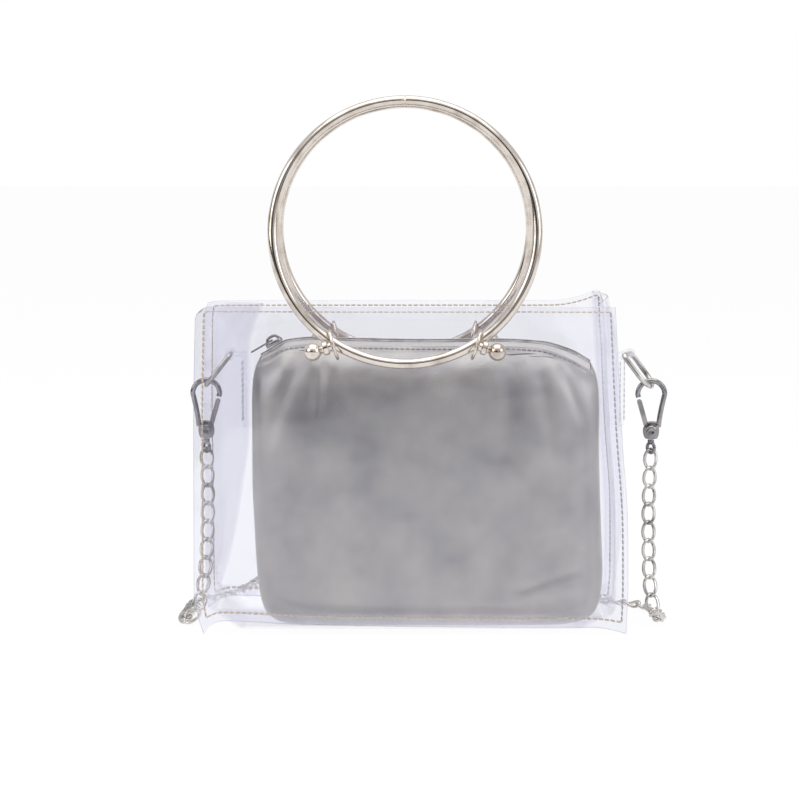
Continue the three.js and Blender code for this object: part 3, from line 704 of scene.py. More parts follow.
def lathed(profile: list[tuple[float, float]], sides: int) -> Shape:
    """Turns a profile of radius and height about the z axis and closes both ends with a fan."""
    turn = np.linspace(0, 2 * np.pi, sides, endpoint=False)
    radius, height = np.array(profile, float).T
    rings = np.stack(
        [
            radius[:, None] * np.cos(turn),
            radius[:, None] * np.sin(turn),
            np.broadcast_to(height[:, None], (len(height), sides)),
        ],
        axis=-1,
    )
    return skin(rings)


def plate(outline: np.ndarray, thickness: float, bevel: float) -> Shape:
    """Makes a flat plate in the xz plane with rounded rims.

    The rim is a quarter circle on each face: the outline pulled in towards its middle by the bevel times one minus
    the cosine, and out in y by the sine.

    Args:
        outline: Points x, z round the plate.
        thickness: Its thickness along y.
        bevel: Radius of the rim's rounding.

    Returns:
        The closed plate.
    """
    middle = outline.mean(axis=0)
    away = outline - middle
    reach = np.linalg.norm(away, axis=1, keepdims=True)
    turn = np.radians(np.array([90, 60, 30, 0]))
    pull = bevel * (1 - np.cos(turn))
    level = thickness / 2 - bevel + bevel * np.sin(turn)
    pull, level = np.concatenate([pull, pull[::-1]]), np.concatenate([-level, level[::-1]])
    ring = middle + away[None] * (1 - pull[:, None, None] / reach[None])
    rings = np.stack([ring[..., 0], np.broadcast_to(level[:, None], ring.shape[:2]), ring[..., 1]], axis=-1)
    return skin(rings)


def thick_sheet(middle: np.ndarray, thickness: float) -> Shape:
    """Gives a sheet its two faces and its cut rim, as a closed shape whose rim has finish number one.

    Each face is the middle surface moved by half the thickness along its normal, which is the cross product of the
    grid's two directions.

    Args:
        middle: Points of the middle surface by row and column.
        thickness: The sheet's thickness.

    Returns:
        The closed sheet.
    """
    rows, columns = middle.shape[:2]
    normal = unit(np.cross(np.gradient(middle, axis=0), np.gradient(middle, axis=1)))
    points = np.concatenate(
        [(middle + side * normal * thickness / 2).reshape(-1, 3) for side in (1, -1)]
    )
    faces = grid_quads(rows, columns)
    number = np.arange(rows * columns).reshape(rows, columns)
    rim = np.concatenate([number[0, :-1], number[:-1, -1], number[-1, :0:-1], number[:0:-1, 0]])
    following = np.roll(rim, -1)
    count = rows * columns
    wall = np.stack([following, rim, rim + count, following + count], axis=1)
    finish = np.concatenate([np.zeros(2 * len(faces), int), np.ones(len(wall), int)])
    quads = np.concatenate([faces, faces[:, ::-1] + count, wall])
    return Shape(points, quads, finish=finish).facing_out()


def capsule(length: float, radius: float, sides: int = 6) -> Shape:
    """Makes a short rod along x with rounded ends, such as one stitch."""
    turn = np.radians(np.array([-75, -35, 0, 0, 35, 75]))
    along = np.where(np.arange(6) < 3, -1, 1) * (length / 2 - radius) + radius * np.sin(turn)
    path = np.stack([along, np.zeros(6), np.zeros(6)], axis=1)
    return swept(path, radius * np.cos(turn), sides, (0, 0, 1))


def frames(origin: np.ndarray, x_axis: np.ndarray, z_axis: np.ndarray) -> np.ndarray:
    """Gives matrices with their x axis along one vector and z as near another as a right angle allows.

    Args:
        origin: Where each one stands.
        x_axis: Its first direction.
        z_axis: Its third direction, roughly.

    Returns:
        Four by four matrices.
    """
    x = unit(x_axis)
    y = unit(np.cross(z_axis, x))
    matrices = np.zeros((len(origin), 4, 4))
    matrices[:, :3, 0], matrices[:, :3, 1], matrices[:, :3, 2] = x, y, np.cross(x, y)
    matrices[:, :3, 3], matrices[:, 3, 3] = origin, 1
    return matrices


def evenly(path: np.ndarray, pitch: float) -> np.ndarray:
    """Gives the places along a path, by their number with a fraction, that are one pitch apart."""
    length = np.concatenate([[0], np.cumsum(np.linalg.norm(np.diff(path, axis=0), axis=1))])
    count = max(1, round(float(length[-1]) / pitch))
    return np.interp((np.arange(count) + 0.5) / count * length[-1], length, np.arange(len(path)))


def stitched(path: np.ndarray, normal: np.ndarray, pitch: float, thread: float) -> Shape:
    """Sews a line: one short rod a stitch, laid along the path and half sunk into the surface.

    Args:
        path: Points of the seam line on the surface.
        normal: The surface's outward direction at each point.
        pitch: Distance from stitch to stitch.
        thread: The thread's radius.

    Returns:
        All stitches as one shape.
    """
    at = evenly(path, pitch)
    number = np.arange(len(path))
    place, up, ahead = (
        np.stack([np.interp(at, number, values[:, k]) for k in range(3)], axis=1)
        for values in (path, normal, np.gradient(path, axis=0))
    )
    return capsule(pitch * 0.78, thread).copies(frames(place + up * thread * 0.4, ahead, up))


def make_piece(
    name: str,
    shape: Shape,
    finishes: list[bpy.types.Material],
    body: Body,
    nodes: tuple[str, ...] = (),
    sharp_degrees: float | None = None,
) -> bpy.types.Object:
    """Makes a Blender object of a shape and says what it rides on, replaces and is finished in.

    Args:
        name: The piece's name.
        shape: Its mesh in millimetres.
        finishes: Its materials, by finish number.
        body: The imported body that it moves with.
        nodes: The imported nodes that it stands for.
        sharp_degrees: Edges that turn more than this stay crisp.

    Returns:
        The object.
    """
    mesh = bpy.data.meshes.new(name)
    mesh.from_pydata(
        (shape.points * MM).tolist(), [], shape.quads.tolist() + shape.triangles.tolist()
    )
    for material in finishes:
        mesh.materials.append(material)
    mesh.polygons.foreach_set("material_index", shape.finish_numbers().astype(np.int32))
    mesh.polygons.foreach_set("use_smooth", np.ones(len(mesh.polygons), bool))
    if sharp_degrees is not None:
        mesh.set_sharp_from_angle(angle=math.radians(sharp_degrees))
    mesh.update()
    made = bpy.data.objects.new(name, mesh)
    bpy.context.scene.collection.objects.link(made)
    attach(made, body.value)
    if nodes:
        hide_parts(*nodes)
    log.info("%s: %d faces on %s", name, len(mesh.polygons), body.value)
    return made


def punched(target: Shape, cutters: list[Shape]) -> Shape:
    """Cuts shapes out of a closed shape with an exact boolean.

    Args:
        target: What is cut.
        cutters: What is taken away.

    Returns:
        The cut shape.
    """
    made = []
    for one in [target, *cutters]:
        mesh = bpy.data.meshes.new("blank")
        mesh.from_pydata(one.points.tolist(), [], one.quads.tolist() + one.triangles.tolist())
        made.append(bpy.data.objects.new("blank", mesh))
        bpy.context.scene.collection.objects.link(made[-1])
    made[0].data.materials.append(None)
    made[0].data.materials.append(None)
    made[0].data.polygons.foreach_set("material_index", target.finish_numbers().astype(np.int32))
    for cutter in made[1:]:
        modifier = made[0].modifiers.new("punch", "BOOLEAN")
        modifier.object, modifier.solver, modifier.operation = cutter, "EXACT", "DIFFERENCE"
    graph = bpy.context.evaluated_depsgraph_get()
    mesh = bpy.data.meshes.new_from_object(made[0].evaluated_get(graph))
    mesh.calc_loop_triangles()
    points = np.zeros(len(mesh.vertices) * 3)
    mesh.vertices.foreach_get("co", points)
    corners = np.zeros(len(mesh.loop_triangles) * 3, int)
    mesh.loop_triangles.foreach_get("vertices", corners)
    for one in made:
        bpy.data.objects.remove(one)
    return Shape(points.reshape(-1, 3), np.zeros((0, 4), int), corners.reshape(-1, 3))


@dataclass
class ClearShell:
    """The box of clear sheet: front and back panels, and one gusset for the two sides and the base."""

    width: float = 205.0
    height: float = 156.0
    rest: float = 3.7
    base_depth: float = 77.0
    rim_depth: float = 67.0
    sheet: float = 1.0
    allowance: float = 5.6
    corner_radius: float = 5.0
    belly: float = 1.2
    clearance: float = 0.3
    press_fall: float = 6.0
    tip_width: float = 4.5
    tip_drop: float = 7.0
    crest: float = 0.22
    skew: float = 2.0
    base_flat: float = 0.6
    stitch_pitch: float = 2.9
    thread: float = 0.3
    edges: Table = field(
        default_factory=lambda: {
            "up": (0.0, 0.12, 0.3, 0.63, 1.0),
            "left": (-1.0, -1.0, -1.0, -1.0, -0.99),
            "right": (1.06, 1.067, 1.065, 1.03, 1.0),
        }
    )
    lower: Table = field(
        default_factory=lambda: {
            "across": (-1.0, -0.88, -0.5, 0.0, 0.6, 1.0),
            "lift": (0.35, 0.5, 0.18, 0.0, -0.08, -0.06),
        }
    )
    rim: Table = field(
        default_factory=lambda: {"across": (-1.0, -0.5, 0.0, 1.0), "depth": (0.88, 0.98, 1.0, 1.04)}
    )
    presses: Table = field(
        default_factory=lambda: {"across": (-0.51, 0.52), "wide": (0.2, 0.2), "deep": (0.5, 1.9)}
    )
    curls: Table = field(
        default_factory=lambda: {
            "side": (-1, -1, -1, 1, 1, 1, 1),
            "across": (-1, 1, -1, -1, 1, -1, 1),
            "up": (0, 0, 1, 0, 0, 1, 1),
            "dx": (0.85, 0.0, 0.4, 0.2, -0.2, 0.3, -0.1),
            "dy": (0.0, 0.0, 0.0, 0.0, 0.0, 0.0, 0.3),
            "drop": (1.0, 1.0, 0.0, 1.0, 1.0, 0.0, 0.0),
            "dz": (0.0, 0.0, -0.45, 0.0, 0.0, -0.2, 1.25),
            "reach": (2.6, 3.2, 1.3, 2.6, 2.6, 2.0, 5.0),
        }
    )
    folds: Table = field(
        default_factory=lambda: {
            "up": (0.0, 0.2, 0.4, 0.6, 0.86, 1.0),
            "left": (0.0, 0.13, 0.2, 0.25, 0.25, 0.325),
            "right": (0.0, 0.05, 0.07, 0.084, 0.084, 0.05),
        }
    )

    def panel_point(self, side: int, across: np.ndarray, up: np.ndarray) -> np.ndarray:
        """Gives points of a panel's middle surface.

        x runs between the two side edges, y from the base's half depth to the rim's with a belly of a half sine
        each way and less the presses of the rings near the rim, and z from the lower edge to the rim. Each corner
        then curls by its own move times the square of one minus the distance over its reach. The back's right tip
        is rounded off by a quarter of an ellipse.

        Args:
            side: -1 for the front and 1 for the back.
            across: Places from -1 at the left to 1 at the right.
            up: Places from 0 at the lower edge to 1 at the rim.

        Returns:
            The points.
        """
        half = self.width / 2
        left, right = (eased(self.edges, "up", key, up) for key in ("left", "right"))
        x = half * (left + (right - left) * (across + 1) / 2)
        rest = self.rest + self.allowance * eased(self.lower, "across", "lift", across)
        rim = self.rim_depth / 2 * eased(self.rim, "across", "depth", across)
        belly = self.belly * np.sin(np.pi * up) * np.cos(np.pi / 2 * across)
        press = np.zeros_like(up * across)
        for place, wide, deep in zip(*self.presses.values()):
            press = press + deep * np.maximum(0, 1 - ((across - place) / wide) ** 2) * up**self.press_fall
        base = self.base_depth / 2
        y = side * (base + (rim - base) * up + belly - press)
        z = rest + (self.rest + self.height - rest) * up
        for which, a, b, dx, dy, drop, dz, reach in zip(*self.curls.values()):
            if which != side:
                continue
            away = np.hypot((across - a) * half, (up - b) * self.height)
            weight = np.maximum(0, 1 - away / (reach * self.allowance)) ** 2
            x = x + weight * dx * self.allowance
            y = y + side * weight * dy * self.allowance
            z = z + weight * (dz * self.allowance - drop * rest)
        if side > 0:
            near = np.clip((across * half - half + self.tip_width) / self.tip_width, 0, 1)
            z = z - self.tip_drop * (1 - np.sqrt(1 - near**2)) * up**12
        return np.stack([x, y, z], axis=-1)

    def panel(self, side: int) -> Shape:
        """Gives the closed sheet of the front or back panel."""
        across, up = np.meshgrid(np.linspace(-1, 1, 121), np.linspace(0, 1, 91))
        return thick_sheet(self.panel_point(side, across, up), self.sheet)

    def seam(self) -> dict[str, np.ndarray]:
        """Follows the gusset's seam from the top left corner down, along the base and up to the top right.

        Returns:
            By name: "edge" and "stitch" places as pairs of across and up, and the weights "left", "base" and
            "right" of each stretch's own shape.
        """
        inset_across, inset_up = self.allowance / (self.width / 2), self.allowance / self.height
        turn_across, turn_up = self.corner_radius / (self.width / 2), self.corner_radius / self.height
        seam_across, low = 1 - inset_across, inset_up + turn_up
        down = np.linspace(1, low, 80)
        arc = np.linspace(0, 1, 14)[1:-1]
        along = np.linspace(-seam_across + turn_across, seam_across - turn_across, 90)
        angle = arc * np.pi / 2
        corner = np.stack(
            [-seam_across + turn_across * (1 - np.cos(angle)), inset_up + turn_up * (1 - np.sin(angle))], axis=1
        )
        rim_corner = np.stack(
            [
                -1 + (1 - seam_across + turn_across) * np.clip(2 * arc - 1, 0, 1),
                low * (1 - np.clip(2 * arc, 0, 1)),
            ],
            axis=1,
        )
        left = np.stack([np.full_like(down, -seam_across), down], axis=1)
        left_edge = np.stack([np.full_like(down, -1.0), down], axis=1)
        base = np.stack([along, np.full_like(along, inset_up)], axis=1)
        base_edge = np.stack([along, np.zeros_like(along)], axis=1)
        flip = np.array([-1.0, 1.0])
        half_weight = np.concatenate([np.ones_like(down), np.clip(1 - 2 * arc, 0, 1)])
        rest = len(base) + len(half_weight)
        end = np.clip((seam_across - np.abs(along)) / (seam_across - 0.8), 0, 1)
        corner_zero = np.zeros(len(half_weight))
        return {
            "edge": np.concatenate(
                [left_edge, rim_corner, base_edge, (rim_corner * flip)[::-1], (left_edge * flip)[::-1]]
            ),
            "stitch": np.concatenate([left, corner, base, (corner * flip)[::-1], (left * flip)[::-1]]),
            "left": np.concatenate([half_weight, np.zeros(rest)]),
            "base": np.concatenate([corner_zero, end, corner_zero]),
            "right": np.concatenate([np.zeros(rest), half_weight[::-1]]),
        }

    def gusset(self) -> Shape:
        """Gives the closed sheet of the gusset, with its seam allowances turned out against the panels.

        Between the seams a point lies on the straight line from front to back. The left side is folded inwards by
        a share of the base's depth, flat over the crest, the right side stands out as a skewed arch, and the base
        sinks to the floor except near its seams. Small creases are ridges that run up the sides.
        """
        seam = self.seam()
        inward = np.array([0.0, self.sheet + self.clearance, 0.0])

        def at(side: int, places: np.ndarray) -> np.ndarray:
            """Gives seam points just inside a panel."""
            return self.panel_point(side, places[:, 0], places[:, 1]) - side * inward

        w = np.concatenate([np.linspace(-1, -0.6, 14)[:-1], np.linspace(-0.6, 0.6, 41), np.linspace(0.6, 1, 14)[1:]])
        front, back = at(-1, seam["stitch"])[:, None], at(1, seam["stitch"])[:, None]
        strip = front + (back - front) * ((w + 1) / 2)[None, :, None]
        up = seam["stitch"][:, 1][:, None]
        inner = 1 - np.minimum(1, (1 - np.abs(w)) / (1 - self.crest))
        left_depth = self.base_depth * eased(self.folds, "up", "left", up) * seam["left"][:, None]
        right_depth = self.base_depth * eased(self.folds, "up", "right", up) * seam["right"][:, None]
        strip[..., 0] += left_depth * (1 - inner)
        strip[..., 0] += right_depth * (1 - w**2) * (1 + self.skew * w)
        strip[..., 0] += self.creases(w[None], up) * (seam["left"] + seam["right"])[:, None]
        sink = (1 - (np.maximum(0, np.abs(w) - self.base_flat) / (1 - self.base_flat)) ** 2) * seam["base"][:, None]
        strip[..., 2] += (self.sheet / 2 - strip[..., 2]) * sink
        flange = np.linspace(0, 1, 5)[:-1]
        outer = [
            at(side, seam["edge"])[:, None] * (1 - flange[None, :, None])
            + at(side, seam["stitch"])[:, None] * flange[None, :, None]
            for side in (-1, 1)
        ]
        rows = np.concatenate([outer[0], strip, outer[1][:, ::-1]], axis=1)
        return thick_sheet(rows, self.sheet)

    def creases(self, w: np.ndarray, up: np.ndarray) -> np.ndarray:
        """Gives how far fine creases push the side out: each is a Gaussian ridge across w, faded at its ends."""
        ridges = (
            # w at the base, lean, width, lowest, highest, height
            (-0.62, 0.12, 0.03, 0.15, 0.75, 0.5),
            (-0.35, -0.1, 0.025, 0.1, 0.55, -0.6),
            (0.4, 0.15, 0.03, 0.3, 0.95, 0.45),
            (0.68, -0.08, 0.025, 0.05, 0.6, -0.5),
        )
        total = np.zeros(np.broadcast(w, up).shape)
        for base, lean, wide, low, high, tall in ridges:
            fade = np.clip((up - low) / 0.1, 0, 1) * np.clip((high - up) / 0.1, 0, 1)
            total = total + tall * fade * np.exp(-(((w - base - lean * up) / wide) ** 2))
        return total

    def seam_stitches(self, side: int, lines: tuple[str, ...]) -> Shape:
        """Sews a panel's named lines on its outer and inner face.

        Args:
            side: -1 for the front and 1 for the back.
            lines: Any of "left", "right", "low" and "rim".

        Returns:
            The stitches.
        """
        half = self.width / 2
        left, right, low, high = 4.1 / half, 2.4 / half, 4.2 / self.height, 2.5 / self.height
        t = np.linspace(0, 1, 240)
        runs = {
            "left": (np.full_like(t, -1 + left), low + (1 - low - high) * t),
            "right": (np.full_like(t, 1 - right), low + (1 - low - high) * t),
            "low": (-1 + left + (2 - left - right) * t, np.full_like(t, low)),
            "rim": (-1 + left + (2 - left - right) * t, np.full_like(t, 1 - high)),
        }
        total: Shape | None = None
        for line in lines:
            across, up = runs[line]
            path = self.panel_point(side, across, up)
            step = 1e-3
            rise = self.panel_point(side, across, up - step) - path
            run = self.panel_point(side, across - step, up) - path
            normal = unit(np.cross(rise, run)) * -side
            normal *= np.sign((normal * [0, side, 0]).sum(axis=1, keepdims=True))
            for face, lift in ((1, self.sheet / 2), (-1, 1.5 * self.sheet + self.clearance)):
                if line == "rim" and face < 0:
                    lift = self.sheet / 2
                sewn = stitched(path + normal * face * lift, normal * face, self.stitch_pitch, self.thread)
                total = sewn if total is None else total + sewn
        return total

    def build(self, finishes: Finishes, handles: "RingHandles") -> None:
        """Makes the shell's pieces: the two panels with their stitches, and the gusset."""
        for side, word in ((-1, "front"), (1, "back")):
            shape = self.panel(side)
            make_piece(
                f"clear_{word}_panel",
                shape,
                [finishes.vinyl, finishes.edge],
                Body.BAG,
                (f"{word}_panel",),
                30,
            )
            make_piece(
                f"{word}_seam_stitches",
                self.seam_stitches(side, ("left", "low", "rim")),
                [finishes.thread],
                Body.BAG,
            )
            # The right seams' stitches are painted shade: the beige thread drawn in the darker grey thread where shade
            # falls on it.
            make_piece(
                f"{word}_right_stitches_painted_shade",
                self.seam_stitches(side, ("right",)),
                [finishes.grey_and_shaded_thread],
                Body.BAG,
            )
        make_piece(
            "clear_gusset", self.gusset(), [finishes.vinyl, finishes.edge], Body.BAG, ("gusset",), 30
        )


@dataclass
class Pouch:
    """The zipped silver pouch that fills the bag."""

    width: float = 172.0
    height: float = 139.0
    centre: float = 10.78
    wall: float = 1.5
    front: float = 33.2
    back: float = 24.0
    floor: float = 1.3
    slot_middle: float = -8.5
    slot_width: float = 11.6
    tape_thickness: float = 1.0
    teeth_width: float = 2.4
    teeth_height: float = 2.3
    tooth_pitch: float = 1.35
    reach: float = 0.946
    lip_spread: float = 8.0
    shoulder: float = 0.97
    blunt: float = 4.5
    slot_blunt: float = 14.0
    sections: Table = field(
        default_factory=lambda: {
            "up": (0.0, 0.016, 0.05, 0.1, 0.2, 0.38, 0.56, 0.72, 0.84, 0.92, 0.97, 1.0),
            "left": (-0.82, -0.88, -0.93, -0.955, -0.975, -0.99, -1.0, -1.0, -1.0, -0.995, -0.98, -0.95),
            "right": (0.86, 0.93, 0.985, 1.01, 1.025, 1.015, 1.005, 1.0, 1.0, 0.995, 0.98, 0.95),
            "front": (0.66, 0.84, 0.95, 0.99, 1.0, 1.0, 0.98, 0.93, 0.86, 0.75, 0.6, 0.431),
            "back": (0.5, 0.78, 0.93, 0.99, 1.0, 1.0, 0.93, 0.78, 0.55, 0.3, 0.05, -0.1125),
        }
    )
    zip_line: Table = field(
        default_factory=lambda: {
            "across": (-1.0, -0.9, -0.79, -0.65, -0.4, 0.0, 0.4, 0.66, 0.82, 1.0),
            "rise": (-0.062, -0.026, 0.01, 0.018, 0.014, 0.01, 0.012, 0.004, -0.022, -0.085),
        }
    )
    lip: Table = field(
        default_factory=lambda: {"across": (-1.0, -0.8, 0.6, 0.85, 1.0), "fall": (1.8, 2.6, 2.8, 4.2, 4.6)}
    )
    folds: Table = field(
        default_factory=lambda: {
            "from_across": (-0.6, -0.44, -0.72, 0.5, 0.64, 0.78, -0.2, 0.55, 0.62, -0.9),
            "from_up": (0.96, 0.96, 0.94, 0.96, 0.95, 0.93, 0.9, 0.14, 0.08, 0.1),
            "to_across": (-0.62, -0.36, -0.92, 0.44, 0.76, 0.97, -0.3, 0.98, 0.92, -0.7),
            "to_up": (0.74, 0.66, 0.66, 0.62, 0.5, 0.68, 0.72, 0.24, 0.13, 0.04),
            "wide": (3.0, 4.5, 4.0, 4.5, 4.5, 3.0, 6.0, 2.2, 2.0, 2.5),
            "deep": (1.6, 1.1, 1.0, 1.5, 1.4, 0.9, 0.7, 0.8, 0.6, 0.7),
        }
    )

    def zip_height(self, across: np.ndarray | float) -> np.ndarray:
        """Gives the height of the zip line at places across the pouch."""
        return self.floor + self.height * (1 + eased(self.zip_line, "across", "rise", across))

    def bluntness(self, up: np.ndarray | float) -> np.ndarray:
        """Gives the exponent of the ring's superellipse at a height: boxier towards the slot."""
        share = np.clip((np.asarray(up) - self.shoulder) / (1 - self.shoulder), 0, 1)
        return self.blunt + (self.slot_blunt - self.blunt) * share

    def skin_point(self, share: np.ndarray, deep: np.ndarray, up: np.ndarray, shrink: float = 0.0) -> np.ndarray:
        """Gives points of the pouch's skin.

        The ends and the faces follow the sections table, and z is the share up of the zip line's height there. The
        front of the top leans down with the lip, and the front face gives way along the folds.

        Args:
            share: Places from -1 at the left end to 1 at the right end.
            deep: Places from -1 at the front face to 1 at the back face.
            up: Heights as shares.
            shrink: How far inside the outer skin they lie.

        Returns:
            The points.
        """
        half = self.width / 2
        left, right, front, back = (eased(self.sections, "up", key, up) for key in ("left", "right", "front", "back"))
        ends = half * left + shrink, half * right - shrink
        faces = -self.front * front + shrink, self.back * back - shrink
        across = (ends[0] + (ends[1] - ends[0]) * (share + 1) / 2) / half
        forward = np.clip(-deep, 0, 1)
        y = (faces[0] + faces[1]) / 2 + deep * (faces[1] - faces[0]) / 2 + self.fold(across, up) * forward
        fall = eased(self.lip, "across", "fall", across) * up**self.lip_spread * forward
        z = self.floor + (self.zip_height(across) - self.floor) * up - fall
        return np.stack([self.centre + half * across, y, z], axis=-1)

    def ring(self, up: np.ndarray, shrink: float, around: int) -> np.ndarray:
        """Gives rings of points round the pouch.

        A ring is a superellipse: along it x goes as the cosine and y as the sine, each to the power of two over
        the bluntness.

        Args:
            up: The rings' heights, as shares.
            shrink: How far inside the outer skin they lie.
            around: Points in a ring.

        Returns:
            Points by ring and place.
        """
        power = 2 / self.bluntness(up)[:, None]
        turn = np.linspace(0, 2 * np.pi, around, endpoint=False)[None]
        share, deep = (np.sign(wave) * np.abs(wave) ** power for wave in (np.cos(turn), np.sin(turn)))
        return self.skin_point(share, deep, up[:, None], shrink)

    def fold(self, across: np.ndarray, up: np.ndarray) -> np.ndarray:
        """Gives how far the front is pulled in along its folds.

        Each fold is a straight line on the face: the pull is a Gaussian of the distance to it, at the fold's width.
        """
        x, z = across * self.width / 2, up * self.height
        total = np.zeros(np.broadcast(x, z).shape)
        for a, b, c, d, wide, deep in zip(*self.folds.values()):
            start = np.array([a * self.width / 2, b * self.height])
            run = np.array([c * self.width / 2, d * self.height]) - start
            along = np.clip(((x - start[0]) * run[0] + (z - start[1]) * run[1]) / (run @ run), 0, 1)
            away = np.hypot(x - start[0] - along * run[0], z - start[1] - along * run[1])
            total = total + deep * (1 - 0.6 * along) * np.exp(-((away / wide) ** 2))
        return total

    def body(self) -> Shape:
        """Gives the hollow body, outside, lip and inside in one skin."""
        rise = np.sort(np.concatenate([np.linspace(0, 1, 72) ** 1.25, [0.97, 0.98, 0.99]]))
        around = 220
        outer = self.ring(rise, 0, around)
        inner = self.ring(rise[2:-6:2][::-1], self.wall, around)
        lip = outer[-1:].copy()
        lip[..., 2] -= self.wall
        inner[-1, :, 2] = self.floor + self.wall
        return skin(np.concatenate([outer, lip, inner]))

    def strip(self, near: float, far: float, below: float, above: float) -> Shape:
        """Gives a bar along the zip line between two depths, with heights over the slot's level."""
        across = np.linspace(-self.reach, self.reach, 90)
        x = self.centre + self.width / 2 * across
        z = self.zip_height(across)
        fall = eased(self.lip, "across", "fall", across)
        corners = ((far, below), (far, above), (near, above), (near, below))
        rings = [
            np.stack([x, np.full_like(x, y), z + level - fall * max(0, self.slot_middle - y) / (self.slot_width / 2)], axis=1)
            for y, level in corners
        ]
        return skin(np.stack(rings, axis=1))

    def teeth(self) -> Shape:
        """Gives the zip's teeth: small rounded blocks, every other one from the other side, on a thin core."""
        across = np.linspace(-self.reach, self.reach, 400)
        path = np.stack(
            [self.centre + self.width / 2 * across, np.full(400, self.slot_middle), self.zip_height(across)], axis=1
        )
        at = evenly(path, self.tooth_pitch / 2)
        number = np.arange(len(path))
        place = np.stack([np.interp(at, number, path[:, k]) for k in range(3)], axis=1)
        place[:, 1] += np.where(np.arange(len(at)) % 2, 1, -1) * self.teeth_width * 0.2
        ahead = np.stack([np.interp(at, number, np.gradient(path, axis=0)[:, k]) for k in range(3)], axis=1)
        corner = np.array([[-0.4, -0.6], [-0.28, -0.78], [0.28, -0.78], [0.4, -0.6], [0.4, 0.6], [0.28, 0.78]])
        corner = np.concatenate([corner, [[-0.28, 0.78], [-0.4, 0.6]]]) * [1, self.teeth_height / 2]
        tooth = plate(corner, self.teeth_width * 0.58, 0.15)
        core = self.strip(self.slot_middle - 0.5, self.slot_middle + 0.5, -0.8, 0.5)
        up = np.tile([0.0, 0.0, 1.0], (len(at), 1))
        return core + tooth.copies(frames(place, ahead, up))

    def topstitch(self) -> Shape:
        """Gives the row of stitches on each side of the zip."""
        share = np.linspace(-0.93, 0.93, 300)
        total: Shape | None = None
        for side, up, lean in ((-1, 0.991, -0.5), (1, 0.988, 0.35)):
            deep = side * (1 - np.abs(share) ** self.bluntness(up)) ** (1 / self.bluntness(up))
            path = self.skin_point(share, deep, np.full_like(share, up))
            outward = np.tile(unit(np.array([0.0, lean, 1.0])), (len(share), 1))
            sewn = stitched(path, outward, 2.6, 0.34)
            total = sewn if total is None else total + sewn
        return total

    def slider(self) -> Shape:
        """Gives the slider about its own middle: a waisted plate with an arched bridge."""
        turn = np.linspace(0, 2 * np.pi, 40, endpoint=False)
        waist = 1 - 0.16 * np.cos(turn) ** 2 * (np.cos(turn) > 0)
        x = 4.5 * np.sign(np.cos(turn)) * np.abs(np.cos(turn)) ** 0.5
        z = 3.5 * np.sign(np.sin(turn)) * np.abs(np.sin(turn)) ** 0.5 * waist
        body = plate(np.stack([x, z], axis=1), 1.8, 0.4).placed(turned("x", 90))
        t = np.linspace(-1, 1, 21)
        arch = np.stack([3.4 * t, np.zeros(21), 0.7 + 2.6 * (1 - t**4)], axis=1)
        return body + swept(arch, 0.7, 10, (0, 1, 0))

    def pull(self) -> Shape:
        """Gives the pull about the slider's middle: a flat tongue with a slot for the bridge."""
        turn = np.radians(np.linspace(90, 270, 17))
        end = np.stack([2.3 - 12.5 + 2.3 * np.cos(turn), 2.3 * np.sin(turn)], axis=1)
        outline = np.concatenate([[[-5.9, -2.3]], [[-5.9, 2.3]], end])
        tongue = plate(outline, 0.8, 0.25).placed(turned("x", 90))
        sides = [
            plate(np.array([[-6.4, a], [0, a], [0, b], [-6.4, b]]), 0.8, 0.2).placed(turned("x", 90))
            for a, b in ((-2.3, -1.05), (1.05, 2.3))
        ]
        bar = plate(np.array([[-1.1, -2.3], [0, -2.3], [0, 2.3], [-1.1, 2.3]]), 0.8, 0.2).placed(turned("x", 90))
        return (tongue + sides[0] + sides[1] + bar).placed(moved(0, 0, 1.6))

    def build(self, finishes: Finishes) -> None:
        """Makes the pouch's pieces."""
        bag, middle, half, half_width = Body.BAG, self.slot_middle, self.slot_width / 2, self.width / 2
        edge = self.teeth_width / 2 + 0.3
        make_piece("pouch_leather", self.body(), [finishes.leather], bag, ("pouch_body",), 50)
        for word, near, far in (
            ("front", middle - half + 0.3, middle - edge),
            ("back", middle + edge, middle + half - 0.3),
        ):
            shape = self.strip(near, far, -self.tape_thickness, 0)
            make_piece(f"woven_tape_{word}", shape, [finishes.tape], bag, (f"zip_tape_{word}",), 40)
        make_piece("coil_teeth", self.teeth(), [finishes.steel], bag, ("zip_teeth",), 40)
        make_piece("pouch_topstitch", self.topstitch(), [finishes.grey_and_shaded_thread], bag)
        across, reach = -0.86, 0.05
        low, level, high = self.zip_height(np.array([across - reach, across, across + reach]))
        tilt = math.degrees(math.atan2(high - low, self.width * reach))
        seat = moved(self.centre + half_width * across, middle, level) @ turned("y", -tilt) @ moved(0, 0, 2.1)
        make_piece(
            "slider_body", self.slider().placed(seat), [finishes.dark], bag, ("zip_slider",), 40
        )
        make_piece("slider_pull", self.pull().placed(seat), [finishes.dark], bag, ("zip_pull",), 40)


